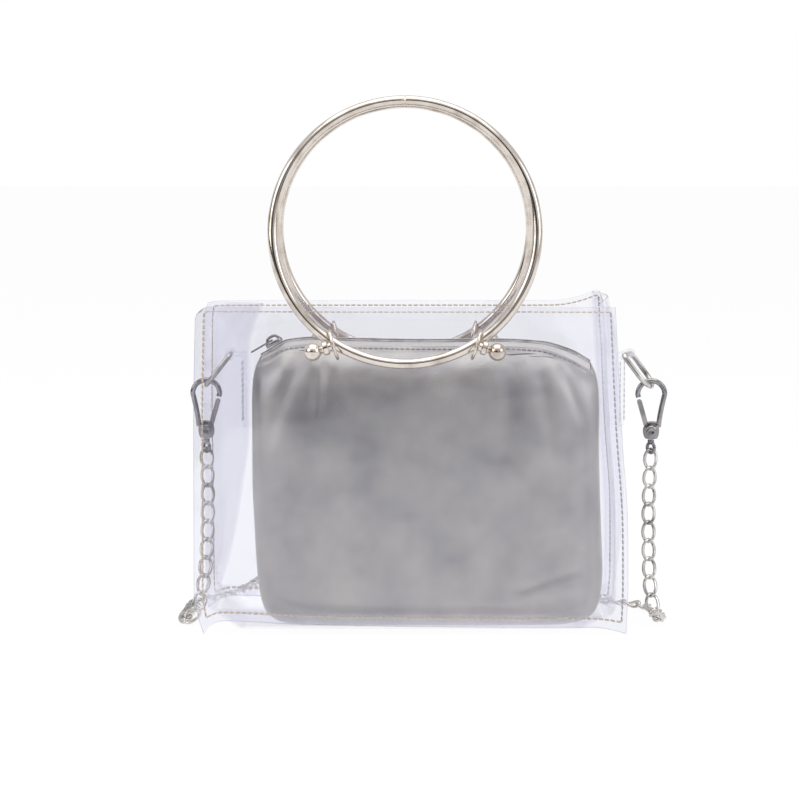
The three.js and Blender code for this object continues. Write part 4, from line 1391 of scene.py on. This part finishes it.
@dataclass
class RingHandles:
    """The two ring handles, and the screw loops and ball screws that hold them to the panels."""

    radius: float = 64.2
    rod: float = 5.0
    lean: float = 8.5
    pivot_height: float = 142.4
    pivot_reach: float = 38.7
    centre: float = 0.5
    spacing: float = 69.0
    loop_radius: float = 7.0
    loop_wire: float = 1.6
    loop_drop: float = 0.8
    loop_tilt: float = 17.0
    ball_radius: float = 4.3
    ball_stand: float = 10.3
    collar_radius: float = 3.5
    collar_length: float = 2.8
    screw_radius: float = 2.0
    clearance: float = 0.3

    def rise(self) -> float:
        """Gives the height of a ring's middle over its pivot line."""
        return math.sqrt(self.radius**2 - (self.spacing / 2) ** 2)

    def ring(self, side: int) -> Shape:
        """Gives a ring in place: a circle of rod, with the fine groove of its joint at the top of the front one.

        Args:
            side: -1 for the front and 1 for the back.

        Returns:
            The ring.
        """
        turn = np.linspace(0, 2 * np.pi, 216, endpoint=False)
        joint = np.pi / 2 + np.array([-0.35, -0.15, 0, 0.15, 0.35]) / self.radius
        turn = np.sort(np.concatenate([turn[np.abs(turn - np.pi / 2) > 0.02], joint]))
        groove = 0.28 * np.exp(-(((turn - np.pi / 2) * self.radius / 0.18) ** 2)) if side < 0 else 0 * turn
        path = np.stack(
            [self.radius * np.cos(turn), np.zeros_like(turn), self.rise() + self.radius * np.sin(turn)], axis=1
        )
        shape = swept(path, self.rod / 2 - groove, 28, (0, 1, 0), closed=True)
        hinge = moved(self.centre, side * self.pivot_reach, self.pivot_height)
        return shape.placed(hinge @ turned("x", side * self.lean))

    def loop_place(self, side: int, hand: int) -> np.ndarray:
        """Gives the matrix of a screw loop's middle."""
        x = self.centre + hand * self.spacing / 2
        return moved(x, side * self.pivot_reach, self.pivot_height - self.loop_drop) @ turned(
            "y", hand * self.loop_tilt
        )

    def loop(self) -> Shape:
        """Gives a screw loop about its own middle, a circle of wire in the yz plane."""
        turn = np.linspace(0, 2 * np.pi, 64, endpoint=False)
        path = self.loop_radius * np.stack([np.zeros_like(turn), np.cos(turn), np.sin(turn)], axis=1)
        return swept(path, self.loop_wire / 2, 14, (1, 0, 0), closed=True)

    def ball_screw(self) -> Shape:
        """Gives a ball-ended screw along z: a shank, a collar with rounded rims, a neck and the ball."""
        foot = self.loop_wire / 2 + self.clearance
        collar = foot + 1.3
        round_off = 0.5
        neck = self.ball_stand - self.ball_radius * 0.94
        profile = [
            (self.screw_radius, foot),
            (self.screw_radius, collar),
            (self.collar_radius - round_off, collar),
            (self.collar_radius, collar + round_off),
            (self.collar_radius, collar + self.collar_length - round_off),
            (self.collar_radius - round_off, collar + self.collar_length),
            (self.screw_radius, collar + self.collar_length),
            (self.screw_radius * 0.75, neck),
        ]
        turn = np.radians(np.linspace(-62, 86, 22))
        ball = np.stack(
            [self.ball_radius * np.cos(turn), self.ball_stand + self.ball_radius * np.sin(turn)], axis=1
        )
        return lathed(profile + [tuple(p) for p in ball.tolist()], 40)

    def build(self, finishes: Finishes) -> None:
        """Makes the handles' pieces."""
        for side, word, body in ((-1, "front", Body.FRONT_RING), (1, "back", Body.BACK_RING)):
            make_piece(
                f"ring_{word}", self.ring(side), [finishes.nickel], body, (f"ring_handle_{word}",)
            )
            for hand, name in ((-1, "left"), (1, "right")):
                place = self.loop_place(side, hand)
                make_piece(
                    f"loop_{word}_{name}",
                    self.loop().placed(place),
                    [finishes.nickel],
                    Body.BAG,
                    (f"screw_loop_{word}_{name}",),
                )
                seat = place @ moved(0, side * self.loop_radius, 0) @ turned("y", hand * 90)
                make_piece(
                    f"ball_{word}_{name}",
                    self.ball_screw().placed(seat),
                    [finishes.nickel],
                    Body.BAG,
                    (f"ball_screw_{word}_{name}",),
                    35,
                )


@dataclass
class StrapEnd:
    """One end of the strap: a tab of clear sheet, a D-ring, a snap hook with its gate, and a swivel."""

    name: str
    gate_body: Body
    tab_place: tuple[float, float, float]
    ring_place: tuple[float, float, float]
    rivet_place: tuple[float, float, float]
    facing: float
    hook_facing: float
    arm: float
    sheet: float = 1.0
    tab_width: float = 12.0
    tab_length: float = 36.0
    tab_hole: float = 1.75
    ring_wire: float = 2.5
    ring_width: float = 16.0
    ring_depth: float = 20.0
    ring_fall: float = 52.0
    hook_wire: float = 2.6
    hook_width: float = 16.0
    hook_height: float = 26.2
    body_width: float = 7.8
    body_drop: float = 4.2
    thickness: float = 4.6
    nose_height: float = 16.7
    gate_thickness: float = 1.8
    gate_width: float = 2.4
    rivet_head: float = 2.6
    eye_radius: float = 2.5
    eye_wire: float = 1.7
    eye_drop: float = 8.6
    eye_turn: float = -51.1

    def tab(self) -> Shape:
        """Gives the tab: its profile in the xz plane, doubled strip, arm and loop, carried across its width."""
        loop = self.tab_hole + self.sheet
        start = math.asin(self.sheet / loop)
        middle = self.sheet + self.arm
        turn = np.linspace(math.pi + start, 3 * math.pi - start, 40)
        outer = np.stack([middle + loop * np.cos(turn), loop * np.sin(turn)], axis=1)
        outline = np.concatenate(
            [[[0, self.sheet], [0, -self.tab_length], [2 * self.sheet, -self.tab_length]], [[2 * self.sheet, -1.0]], outer]
        )
        hole = np.linspace(0, 2 * np.pi, 32, endpoint=False)
        ring = np.stack([middle + self.tab_hole * np.cos(hole), self.tab_hole * np.sin(hole)], axis=1)
        solid, tool = (self.prism(places, width) for places, width in ((outline, self.tab_width), (ring, 20.0)))
        return punched(solid, [tool])

    def prism(self, outline: np.ndarray, width: float) -> Shape:
        """Gives a prism of an xz outline along y, with its ends closed by one face each as fans of quads."""
        rings = np.stack(
            [
                np.stack([outline[:, 0], np.full(len(outline), y), outline[:, 1]], axis=1)
                for y in (-width / 2, width / 2)
            ]
        )
        count = len(outline)
        shape = Shape(rings.reshape(-1, 3), grid_quads(2, count, wrap_columns=True))
        corners = ear_clipped(outline)
        caps = np.concatenate([corners, corners[:, ::-1] + count])
        first = Shape(shape.points, shape.quads, caps)
        other = Shape(shape.points, shape.quads, caps[:, ::-1])
        return max((first, other), key=lambda one: abs(one.volume())).facing_out()

    def d_ring(self) -> Shape:
        """Gives the D-ring: its bar along y through the origin and its bow out along x."""
        half = self.ring_width / 2
        leg = self.ring_depth - half
        turn = np.radians(np.linspace(-90, 90, 41))
        bow = np.stack([leg + half * np.cos(turn), half * np.sin(turn)], axis=1)
        soft = 2.0
        corner = np.radians(np.linspace(180, 270, 9))
        low = np.stack([soft + soft * np.cos(corner), -half + soft + soft * np.sin(corner)], axis=1)
        path = np.concatenate([low, [[4.5, -half], [8, -half]], bow, [[8, half], [4.5, half]], low[::-1] * [1, -1]])
        path = np.concatenate([path, [[0, 3], [0, 0], [0, -3]]])
        path = np.concatenate([path, np.zeros((len(path), 1))], axis=1)
        return swept(path, self.ring_wire / 2, 16, (0, 0, 1), closed=True)

    def hook(self) -> Shape:
        """Gives the hook about its rivet, in the xz plane: a bent wire on two cheeks, with a domed rivet."""
        half = (self.hook_width - self.hook_wire) / 2
        top = self.hook_height - self.hook_width / 2
        turn = np.radians(np.linspace(0, 180, 31))
        arc = np.stack([half * np.cos(turn), top + half * np.sin(turn)], axis=1)
        t = np.linspace(0, 1, 16)[:-1, None]
        foot, knee, head = np.array([self.body_width / 2 - 0.2, 1.8]), np.array([half * 0.7, top * 0.5]), arc[0]
        rise = (1 - t) ** 2 * foot + 2 * t * (1 - t) * (2 * knee - (foot + head) / 2) + t**2 * head
        fall_end = np.array([-half * 0.95, self.nose_height])
        fall = arc[-1] + (fall_end - arc[-1]) * np.linspace(0, 1, 5)[1:, None]
        line = np.concatenate([rise, arc, fall])
        path = np.stack([line[:, 0], np.zeros(len(line)), line[:, 1]], axis=1)
        wire = swept(path, self.hook_wire / 2, 16, (0, 1, 0))
        w, d = self.body_width / 2, self.body_drop
        outline = self.rounded(
            np.array([[-0.72 * w, -d], [0.72 * w, -d], [w, -d * 0.4], [w, 2.4], [0.75 * w, 4.6], [-0.4 * w, 4.6], [-w, 1.6], [-w, -d * 0.4]])
        )
        cheek_thickness = (self.thickness - self.gate_thickness - 0.6) / 2
        stand = (self.thickness - cheek_thickness) / 2
        cheek = plate(outline, cheek_thickness, 0.35)
        cheeks = cheek.placed(moved(0, -stand, 0)) + cheek.placed(moved(0, stand, 0))
        foot_block = plate(
            self.rounded(np.array([[-0.7 * w, -d], [0.7 * w, -d], [0.9 * w, -2.9], [-0.9 * w, -2.9]])),
            self.thickness - 0.6,
            0.3,
        )
        side_block = plate(
            self.rounded(np.array([[w * 0.72, -d * 0.6], [w * 0.98, -d * 0.6], [w * 0.98, 3.6], [w * 0.72, 3.6]])),
            self.thickness - 0.6,
            0.2,
        )
        heads = [
            lathed([(self.rivet_head, 0), (self.rivet_head, 0.3), (self.rivet_head * 0.8, 0.75), (1.4, 0.8), (0.9, 0.5)], 28)
            .placed(moved(0, side * (self.thickness / 2 - 0.1), 0) @ turned("x", -90 * side))
            for side in (-1, 1)
        ]
        pin = lathed([(1.0, -self.thickness / 2), (1.0, self.thickness / 2)], 16).placed(turned("x", 90))
        return wire + cheeks + foot_block + side_block + heads[0] + heads[1] + pin

    def rounded(self, corners: np.ndarray) -> np.ndarray:
        """Rounds a polygon's corners by cutting each side at a quarter of its length, three times."""
        for _ in range(3):
            after = np.roll(corners, -1, axis=0)
            corners = np.stack([0.75 * corners + 0.25 * after, 0.25 * corners + 0.75 * after], axis=1).reshape(-1, 2)
        return corners

    def gate(self) -> Shape:
        """Gives the gate about its rivet: a tapered lever with a round root."""
        half = (self.hook_width - self.hook_wire) / 2
        tip = np.array([-half * 0.93, self.nose_height - 1.0])
        shoulder = np.array([-self.body_width * 0.34, 3.2])
        along = unit(tip - shoulder)
        side = np.array([-along[1], along[0]]) * self.gate_width / 2
        root = self.rivet_head * 0.85
        turn = np.linspace(math.pi * 1.05, math.pi * 2.3, 24)
        arc = np.stack([root * np.cos(turn), root * np.sin(turn)], axis=1)
        top = np.linspace(0, math.pi, 9)[:, None]
        round_tip = tip - along * self.gate_width / 2 - side * np.cos(top) + along * self.gate_width / 2 * np.sin(top)
        outline = np.concatenate([arc, [shoulder - side], round_tip, [shoulder + side]])
        hole = np.linspace(0, 2 * np.pi, 20, endpoint=False)
        bore = np.stack([1.3 * np.cos(hole), 1.3 * np.sin(hole)], axis=1)
        return punched(self.prism(outline, self.gate_thickness), [self.prism(bore, 6.0)])

    def swivel(self) -> Shape:
        """Gives the swivel under the hook: a collared stem and the eye that holds the first link."""
        top = -self.body_drop - 0.3
        end = -self.eye_drop + self.eye_radius
        stem = lathed([(1.2, end - 0.3), (1.6, end + 0.1), (1.7, top - 0.6), (1.5, top)], 20)
        turn = np.linspace(0, 2 * np.pi, 40, endpoint=False)
        path = self.eye_radius * np.stack([np.cos(turn), np.zeros_like(turn), np.sin(turn)], axis=1)
        eye = swept(path, self.eye_wire / 2, 14, (0, 1, 0), closed=True).placed(moved(0, 0, -self.eye_drop))
        return stem + eye

    def tab_stitches(self) -> Shape:
        """Gives two short rows of stitches that hold the tab's strip to the gusset."""
        z = np.linspace(-3, -self.tab_length + 2.5, 60)
        total: Shape | None = None
        for y in (-self.tab_width / 2 + 1.6, self.tab_width / 2 - 1.6):
            path = np.stack([np.full_like(z, 2 * self.sheet), np.full_like(z, y), z], axis=1)
            normal = np.tile([1.0, 0.0, 0.0], (len(z), 1))
            sewn = stitched(path, normal, 2.9, 0.28)
            total = sewn if total is None else total + sewn
        return total

    def build(self, finishes: Finishes) -> None:
        """Makes the strap end's pieces."""
        name, bag = self.name, Body.BAG
        tab = moved(*self.tab_place) @ turned("z", self.facing)
        bow = moved(*self.ring_place) @ turned("z", self.facing) @ turned("y", self.ring_fall)
        rivet = moved(*self.rivet_place) @ turned("z", self.hook_facing)
        make_piece(
            f"tab_{name}", self.tab().placed(tab), [finishes.vinyl, finishes.edge], bag, (f"strap_tab_{name}",), 30
        )
        make_piece(f"tab_stitches_{name}", self.tab_stitches().placed(tab), [finishes.pale_thread], bag)
        make_piece(f"bow_{name}", self.d_ring().placed(bow), [finishes.steel], bag, (f"d_ring_{name}",))
        make_piece(f"snap_{name}", self.hook().placed(rivet), [finishes.dark], bag, (f"hook_{name}",), 40)
        make_piece(
            f"gate_lever_{name}",
            self.gate().placed(rivet),
            [finishes.dark],
            self.gate_body,
            (f"hook_gate_{name}",),
            40,
        )
        eye = rivet @ turned("z", self.eye_turn)
        make_piece(
            f"swivel_eye_{name}", self.swivel().placed(eye), [finishes.dark], bag, (f"hook_swivel_{name}",), 40
        )


def ear_clipped(outline: np.ndarray) -> np.ndarray:
    """Cuts a flat outline into triangles with Blender's own tessellator.

    Args:
        outline: Points x, z round it.

    Returns:
        Three point numbers a triangle.
    """
    loop = [(float(x), float(z), 0.0) for x, z in outline]
    return np.array([list(t) for t in tessellate_polygon([loop])], int)


@dataclass
class ChainStrap:
    """The strap's chain of twisted curb links, from the left swivel over the floor behind the bag to the right."""

    pitch: float = 9.1
    length: float = 11.8
    width: float = 7.3
    wire: float = 1.6
    twist: float = 90.0
    sink: float = 0.6
    start: tuple[float, float, float] = (-98.75, 0.0, 86.8)
    end: tuple[float, float, float] = (123.14, -5.48, 86.8)
    route: tuple[tuple[float, float, float], ...] = (
        (-98.2, -1, 62), (-98.6, -4, 38), (-100.5, -10, 17), (-103.5, -16, 6.5),
        (-107.5, -15, 3.2), (-109.8, -7, 2.9), (-109.4, 8, 2.6), (-109, 24, 2.6),
        (-108, 40, 2.6), (-101, 56, 2.6), (-88, 78, 2.6), (-77, 125, 2.6),
        (-76, 200, 2.6), (-68, 290, 2.6), (-38, 342, 2.6), (12, 358, 2.6),
        (60, 340, 2.6), (88, 285, 2.6), (94, 200, 2.6), (93, 125, 2.6),
        (95, 80, 2.6), (102, 55, 2.6), (113, 42.5, 2.6), (122, 35, 2.6),
        (126.5, 24, 2.6), (128.3, 10, 2.6), (128.5, -3, 2.9), (127, -12, 3.2),
        (124.5, -15, 6.5), (123, -11, 17), (122.3, -7, 38), (122.4, -5, 62),
    )  # fmt: skip

    def middle_line(self) -> np.ndarray:
        """Samples the route's centripetal Catmull-Rom curve.

        Each stretch is the cubic between two chosen points whose end slopes come from the neighbours' distances to
        the power of one half.
        """
        p = np.array([self.start, *self.route, self.end], float)
        p = np.concatenate([[2 * p[0] - p[1]], p, [2 * p[-1] - p[-2]]])
        gap = np.sqrt(np.linalg.norm(np.diff(p, axis=0), axis=1))[:, None]
        a, b, c, d = p[:-3], p[1:-2], p[2:-1], p[3:]
        ga, gb, gc = gap[:-2], gap[1:-1], gap[2:]
        out = gb * ((b - a) / ga - (c - a) / (ga + gb) + (c - b) / gb)
        into = gb * ((c - b) / gb - (d - b) / (gb + gc) + (d - c) / gc)
        t = np.linspace(0, 1, 60, endpoint=False)[None, :, None]
        b, c, out, into = (value[:, None] for value in (b, c, out, into))
        curve = b * (1 + 2 * t) * (1 - t) ** 2 + c * t**2 * (3 - 2 * t) + out * t * (1 - t) ** 2 - into * t**2 * (1 - t)
        return np.concatenate([curve.reshape(-1, 3), p[-2][None]])

    def link(self) -> Shape:
        """Gives one curb link: an oval of wire along x whose plane turns by the twist from end to end."""
        end, straight = (self.width - self.wire) / 2, (self.length - self.width) / 2
        angle = np.linspace(0, 2 * np.pi, 30, endpoint=False)
        along = end * np.cos(angle) + straight * np.sign(np.cos(angle)) * np.abs(np.cos(angle)) ** 0.6
        aside = end * np.sin(angle)
        turn = math.radians(self.twist) * along / self.length
        path = np.stack([along, aside * np.cos(turn), aside * np.sin(turn)], axis=1)
        return swept(path, self.wire / 2, 8, (0, 0, 1), closed=True)

    def chain(self) -> Shape:
        """Lays the links along the route: flat towards the camera where it hangs and flat on the floor where it lies."""
        path = self.middle_line()
        length = np.concatenate([[0], np.cumsum(np.linalg.norm(np.diff(path, axis=0), axis=1))])
        count = round(float(length[-1]) / self.pitch)
        at = np.linspace(0, length[-1], count + 1)
        joint = np.stack([np.interp(at, length, path[:, k]) for k in range(3)], axis=1)
        along = unit(np.diff(joint, axis=0))
        place = (joint[1:] + joint[:-1]) / 2
        flat = np.clip((1 - np.abs(along[:, 2]) - 0.1) / 0.7, 0, 1)
        flat = (flat**2 * (3 - 2 * flat))[:, None]
        facing = np.array([0.0, -1.0, 0.0]) * (1 - flat) + np.array([0.0, 0.0, 1.0]) * flat
        rng = np.random.default_rng(7)
        aside = unit(np.cross(along, facing))
        roll = np.radians(rng.normal(0, 7, len(along)))[:, None]
        aside = aside * np.cos(roll) + np.cross(along, aside) * np.sin(roll)
        place[:, 2] -= self.sink * flat[:, 0]
        log.info("chain: %d links over %.1f mm", count, length[-1])
        return self.link().copies(frames(place, along, np.cross(along, aside)))

    def build(self, finishes: Finishes) -> None:
        """Makes the chain as one piece."""
        make_piece(
            "curb_chain",
            self.chain(),
            [finishes.steel],
            Body.BAG,
            ("chain_left", "chain_right", "chain_behind"),
        )


@dataclass
class Studio:
    """White paper floor, soft lamps and the camera at the photograph's angle."""

    camera_place: tuple[float, float, float] = (-2.4, -1237.0, 221.0)
    camera_down: float = 5.04
    focal_px: float = 2484.0
    image_px: float = 798.0
    sensor_mm: float = 36.0

    def lamp(self, name: str, place: tuple[float, float, float], size: float, power: float, colour: str) -> None:
        """Adds a square area lamp that looks at the bag's middle.

        Args:
            name: The lamp's name.
            place: Where it stands, in metres.
            size: Its side, in metres.
            power: Its power, in watts.
            colour: Its sRGB colour.
        """
        light = bpy.data.lights.new(name, "AREA")
        light.shape, light.size, light.energy = "SQUARE", size, power
        light.color = linear(colour)[:3]
        made = bpy.data.objects.new(name, light)
        bpy.context.scene.collection.objects.link(made)
        made.location = place
        aim = Vector((0.0, 0.0, 0.1)) - Vector(place)
        made.rotation_euler = aim.to_track_quat("-Z", "Y").to_euler()

    def world(self) -> None:
        """Sets the room: white to the camera, and to everything else a bright room with grey bands for gloss."""
        world = bpy.data.worlds.new("studio_room")
        bpy.context.scene.world = world
        world.use_nodes = True
        tree = world.node_tree
        tree.nodes.clear()
        direction = add_node(tree, "ShaderNodeTexCoord").outputs["Generated"]
        clouds = add_node(tree, "ShaderNodeTexNoise", inputs={"Vector": direction, "Scale": 1.6, "Detail": 0.0})
        lit = add_node(
            tree,
            "ShaderNodeMapRange",
            {"interpolation_type": "SMOOTHSTEP"},
            {0: clouds.outputs[0], 1: 0.42, 2: 0.56, 3: 0.04, 4: 0.9},
        )
        split = add_node(tree, "ShaderNodeSeparateXYZ", inputs={0: direction})
        height = add_node(
            tree,
            "ShaderNodeMapRange",
            {"interpolation_type": "SMOOTHSTEP"},
            {0: split.outputs["Z"], 1: 0.25, 2: 0.6, 3: 0.0, 4: 1.0},
        )
        room = add_node(
            tree,
            "ShaderNodeMix",
            {"data_type": "RGBA"},
            {0: height.outputs[0], 6: lit.outputs[0], 7: linear("#FFFFFF")},
        )
        behind = add_node(
            tree,
            "ShaderNodeMapRange",
            {"interpolation_type": "SMOOTHSTEP"},
            {0: split.outputs["Y"], 1: -0.2, 2: 0.5, 3: 0.0, 4: 1.0},
        )
        backdrop = add_node(
            tree,
            "ShaderNodeMix",
            {"data_type": "RGBA"},
            {0: behind.outputs[0], 6: room.outputs[2], 7: linear("#FFFFFF")},
        )
        around = add_node(tree, "ShaderNodeBackground", inputs={"Color": backdrop.outputs[2], "Strength": 0.72})
        seen = add_node(tree, "ShaderNodeBackground", inputs={"Color": linear("#FFFFFF"), "Strength": 1.0})
        path = add_node(tree, "ShaderNodeLightPath")
        mix = add_node(
            tree,
            "ShaderNodeMixShader",
            inputs={0: path.outputs["Is Camera Ray"], 1: around.outputs[0], 2: seen.outputs[0]},
        )
        add_node(tree, "ShaderNodeOutputWorld", inputs={"Surface": mix.outputs[0]})

    def build(self) -> None:
        """Makes the floor, the lamps, the room and the camera."""
        size = 90000.0
        corners = np.array([[-size, -size, 0], [size, -size, 0], [size, size, 0], [-size, size, 0]], float)
        mesh = bpy.data.meshes.new("paper_floor")
        mesh.from_pydata((corners * MM).tolist(), [], [(0, 1, 2, 3)])
        mesh.materials.append(StudioPaper().material())
        floor = bpy.data.objects.new("paper_floor", mesh)
        bpy.context.scene.collection.objects.link(floor)
        floor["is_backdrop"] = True
        self.lamp("overhead_softbox", (0.0, -0.2, 1.6), 1.8, 15.0, "#FFFFFF")
        self.lamp("left_softbox", (-1.5, -0.9, 0.9), 1.0, 7.0, "#FFFDFA")
        self.lamp("right_softbox", (1.5, -0.9, 0.9), 1.0, 5.0, "#FAFBFF")
        self.world()
        camera = bpy.data.cameras.new("photograph")
        camera.sensor_width, camera.lens = self.sensor_mm, self.focal_px * self.sensor_mm / self.image_px
        made = bpy.data.objects.new("photograph", camera)
        made.location = [value * MM for value in self.camera_place]
        made.rotation_euler = (math.radians(90 - self.camera_down), 0, 0)
        bpy.context.scene.collection.objects.link(made)
        bpy.context.scene.camera = made
        bpy.context.scene.view_settings.view_transform = "Standard"
        bpy.context.scene.cycles.transparent_max_bounces = 32


def write_sizes() -> None:
    def plain(box: Any) -> Any:
        """Turns nested vectors into nested lists of numbers."""
        return [plain(one) for one in box] if hasattr(box, "__len__") else float(box)

    {"cad": plain(CAD_BOX), "visual": plain(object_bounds())}


def main() -> None:
    """Builds the bag's sub-assemblies in order."""
    logging.basicConfig(level=logging.INFO, format="%(message)s")
    finishes = Finishes()
    Studio().build()
    handles = RingHandles()
    ClearShell().build(finishes, handles)
    Pouch().build(finishes)
    handles.build(finishes)
    ends = (
        StrapEnd(
            "left", Body.LEFT_GATE, (-78.44, 0.0, 134.4), (-86.44, 0.0, 134.4), (-98.75, 0.0, 96.59), 180.0, 180.0, 7.0
        ),
        StrapEnd(
            "right", Body.RIGHT_GATE, (107.1, -0.1, 134.4), (111.46, -1.56, 134.4), (123.14, -5.48, 96.59), -18.6, 0.0, 3.6
        ),
    )
    for end in ends:
        end.build(finishes)
    ChainStrap().build(finishes)
    write_sizes()


if __name__ == "__main__":
    main()
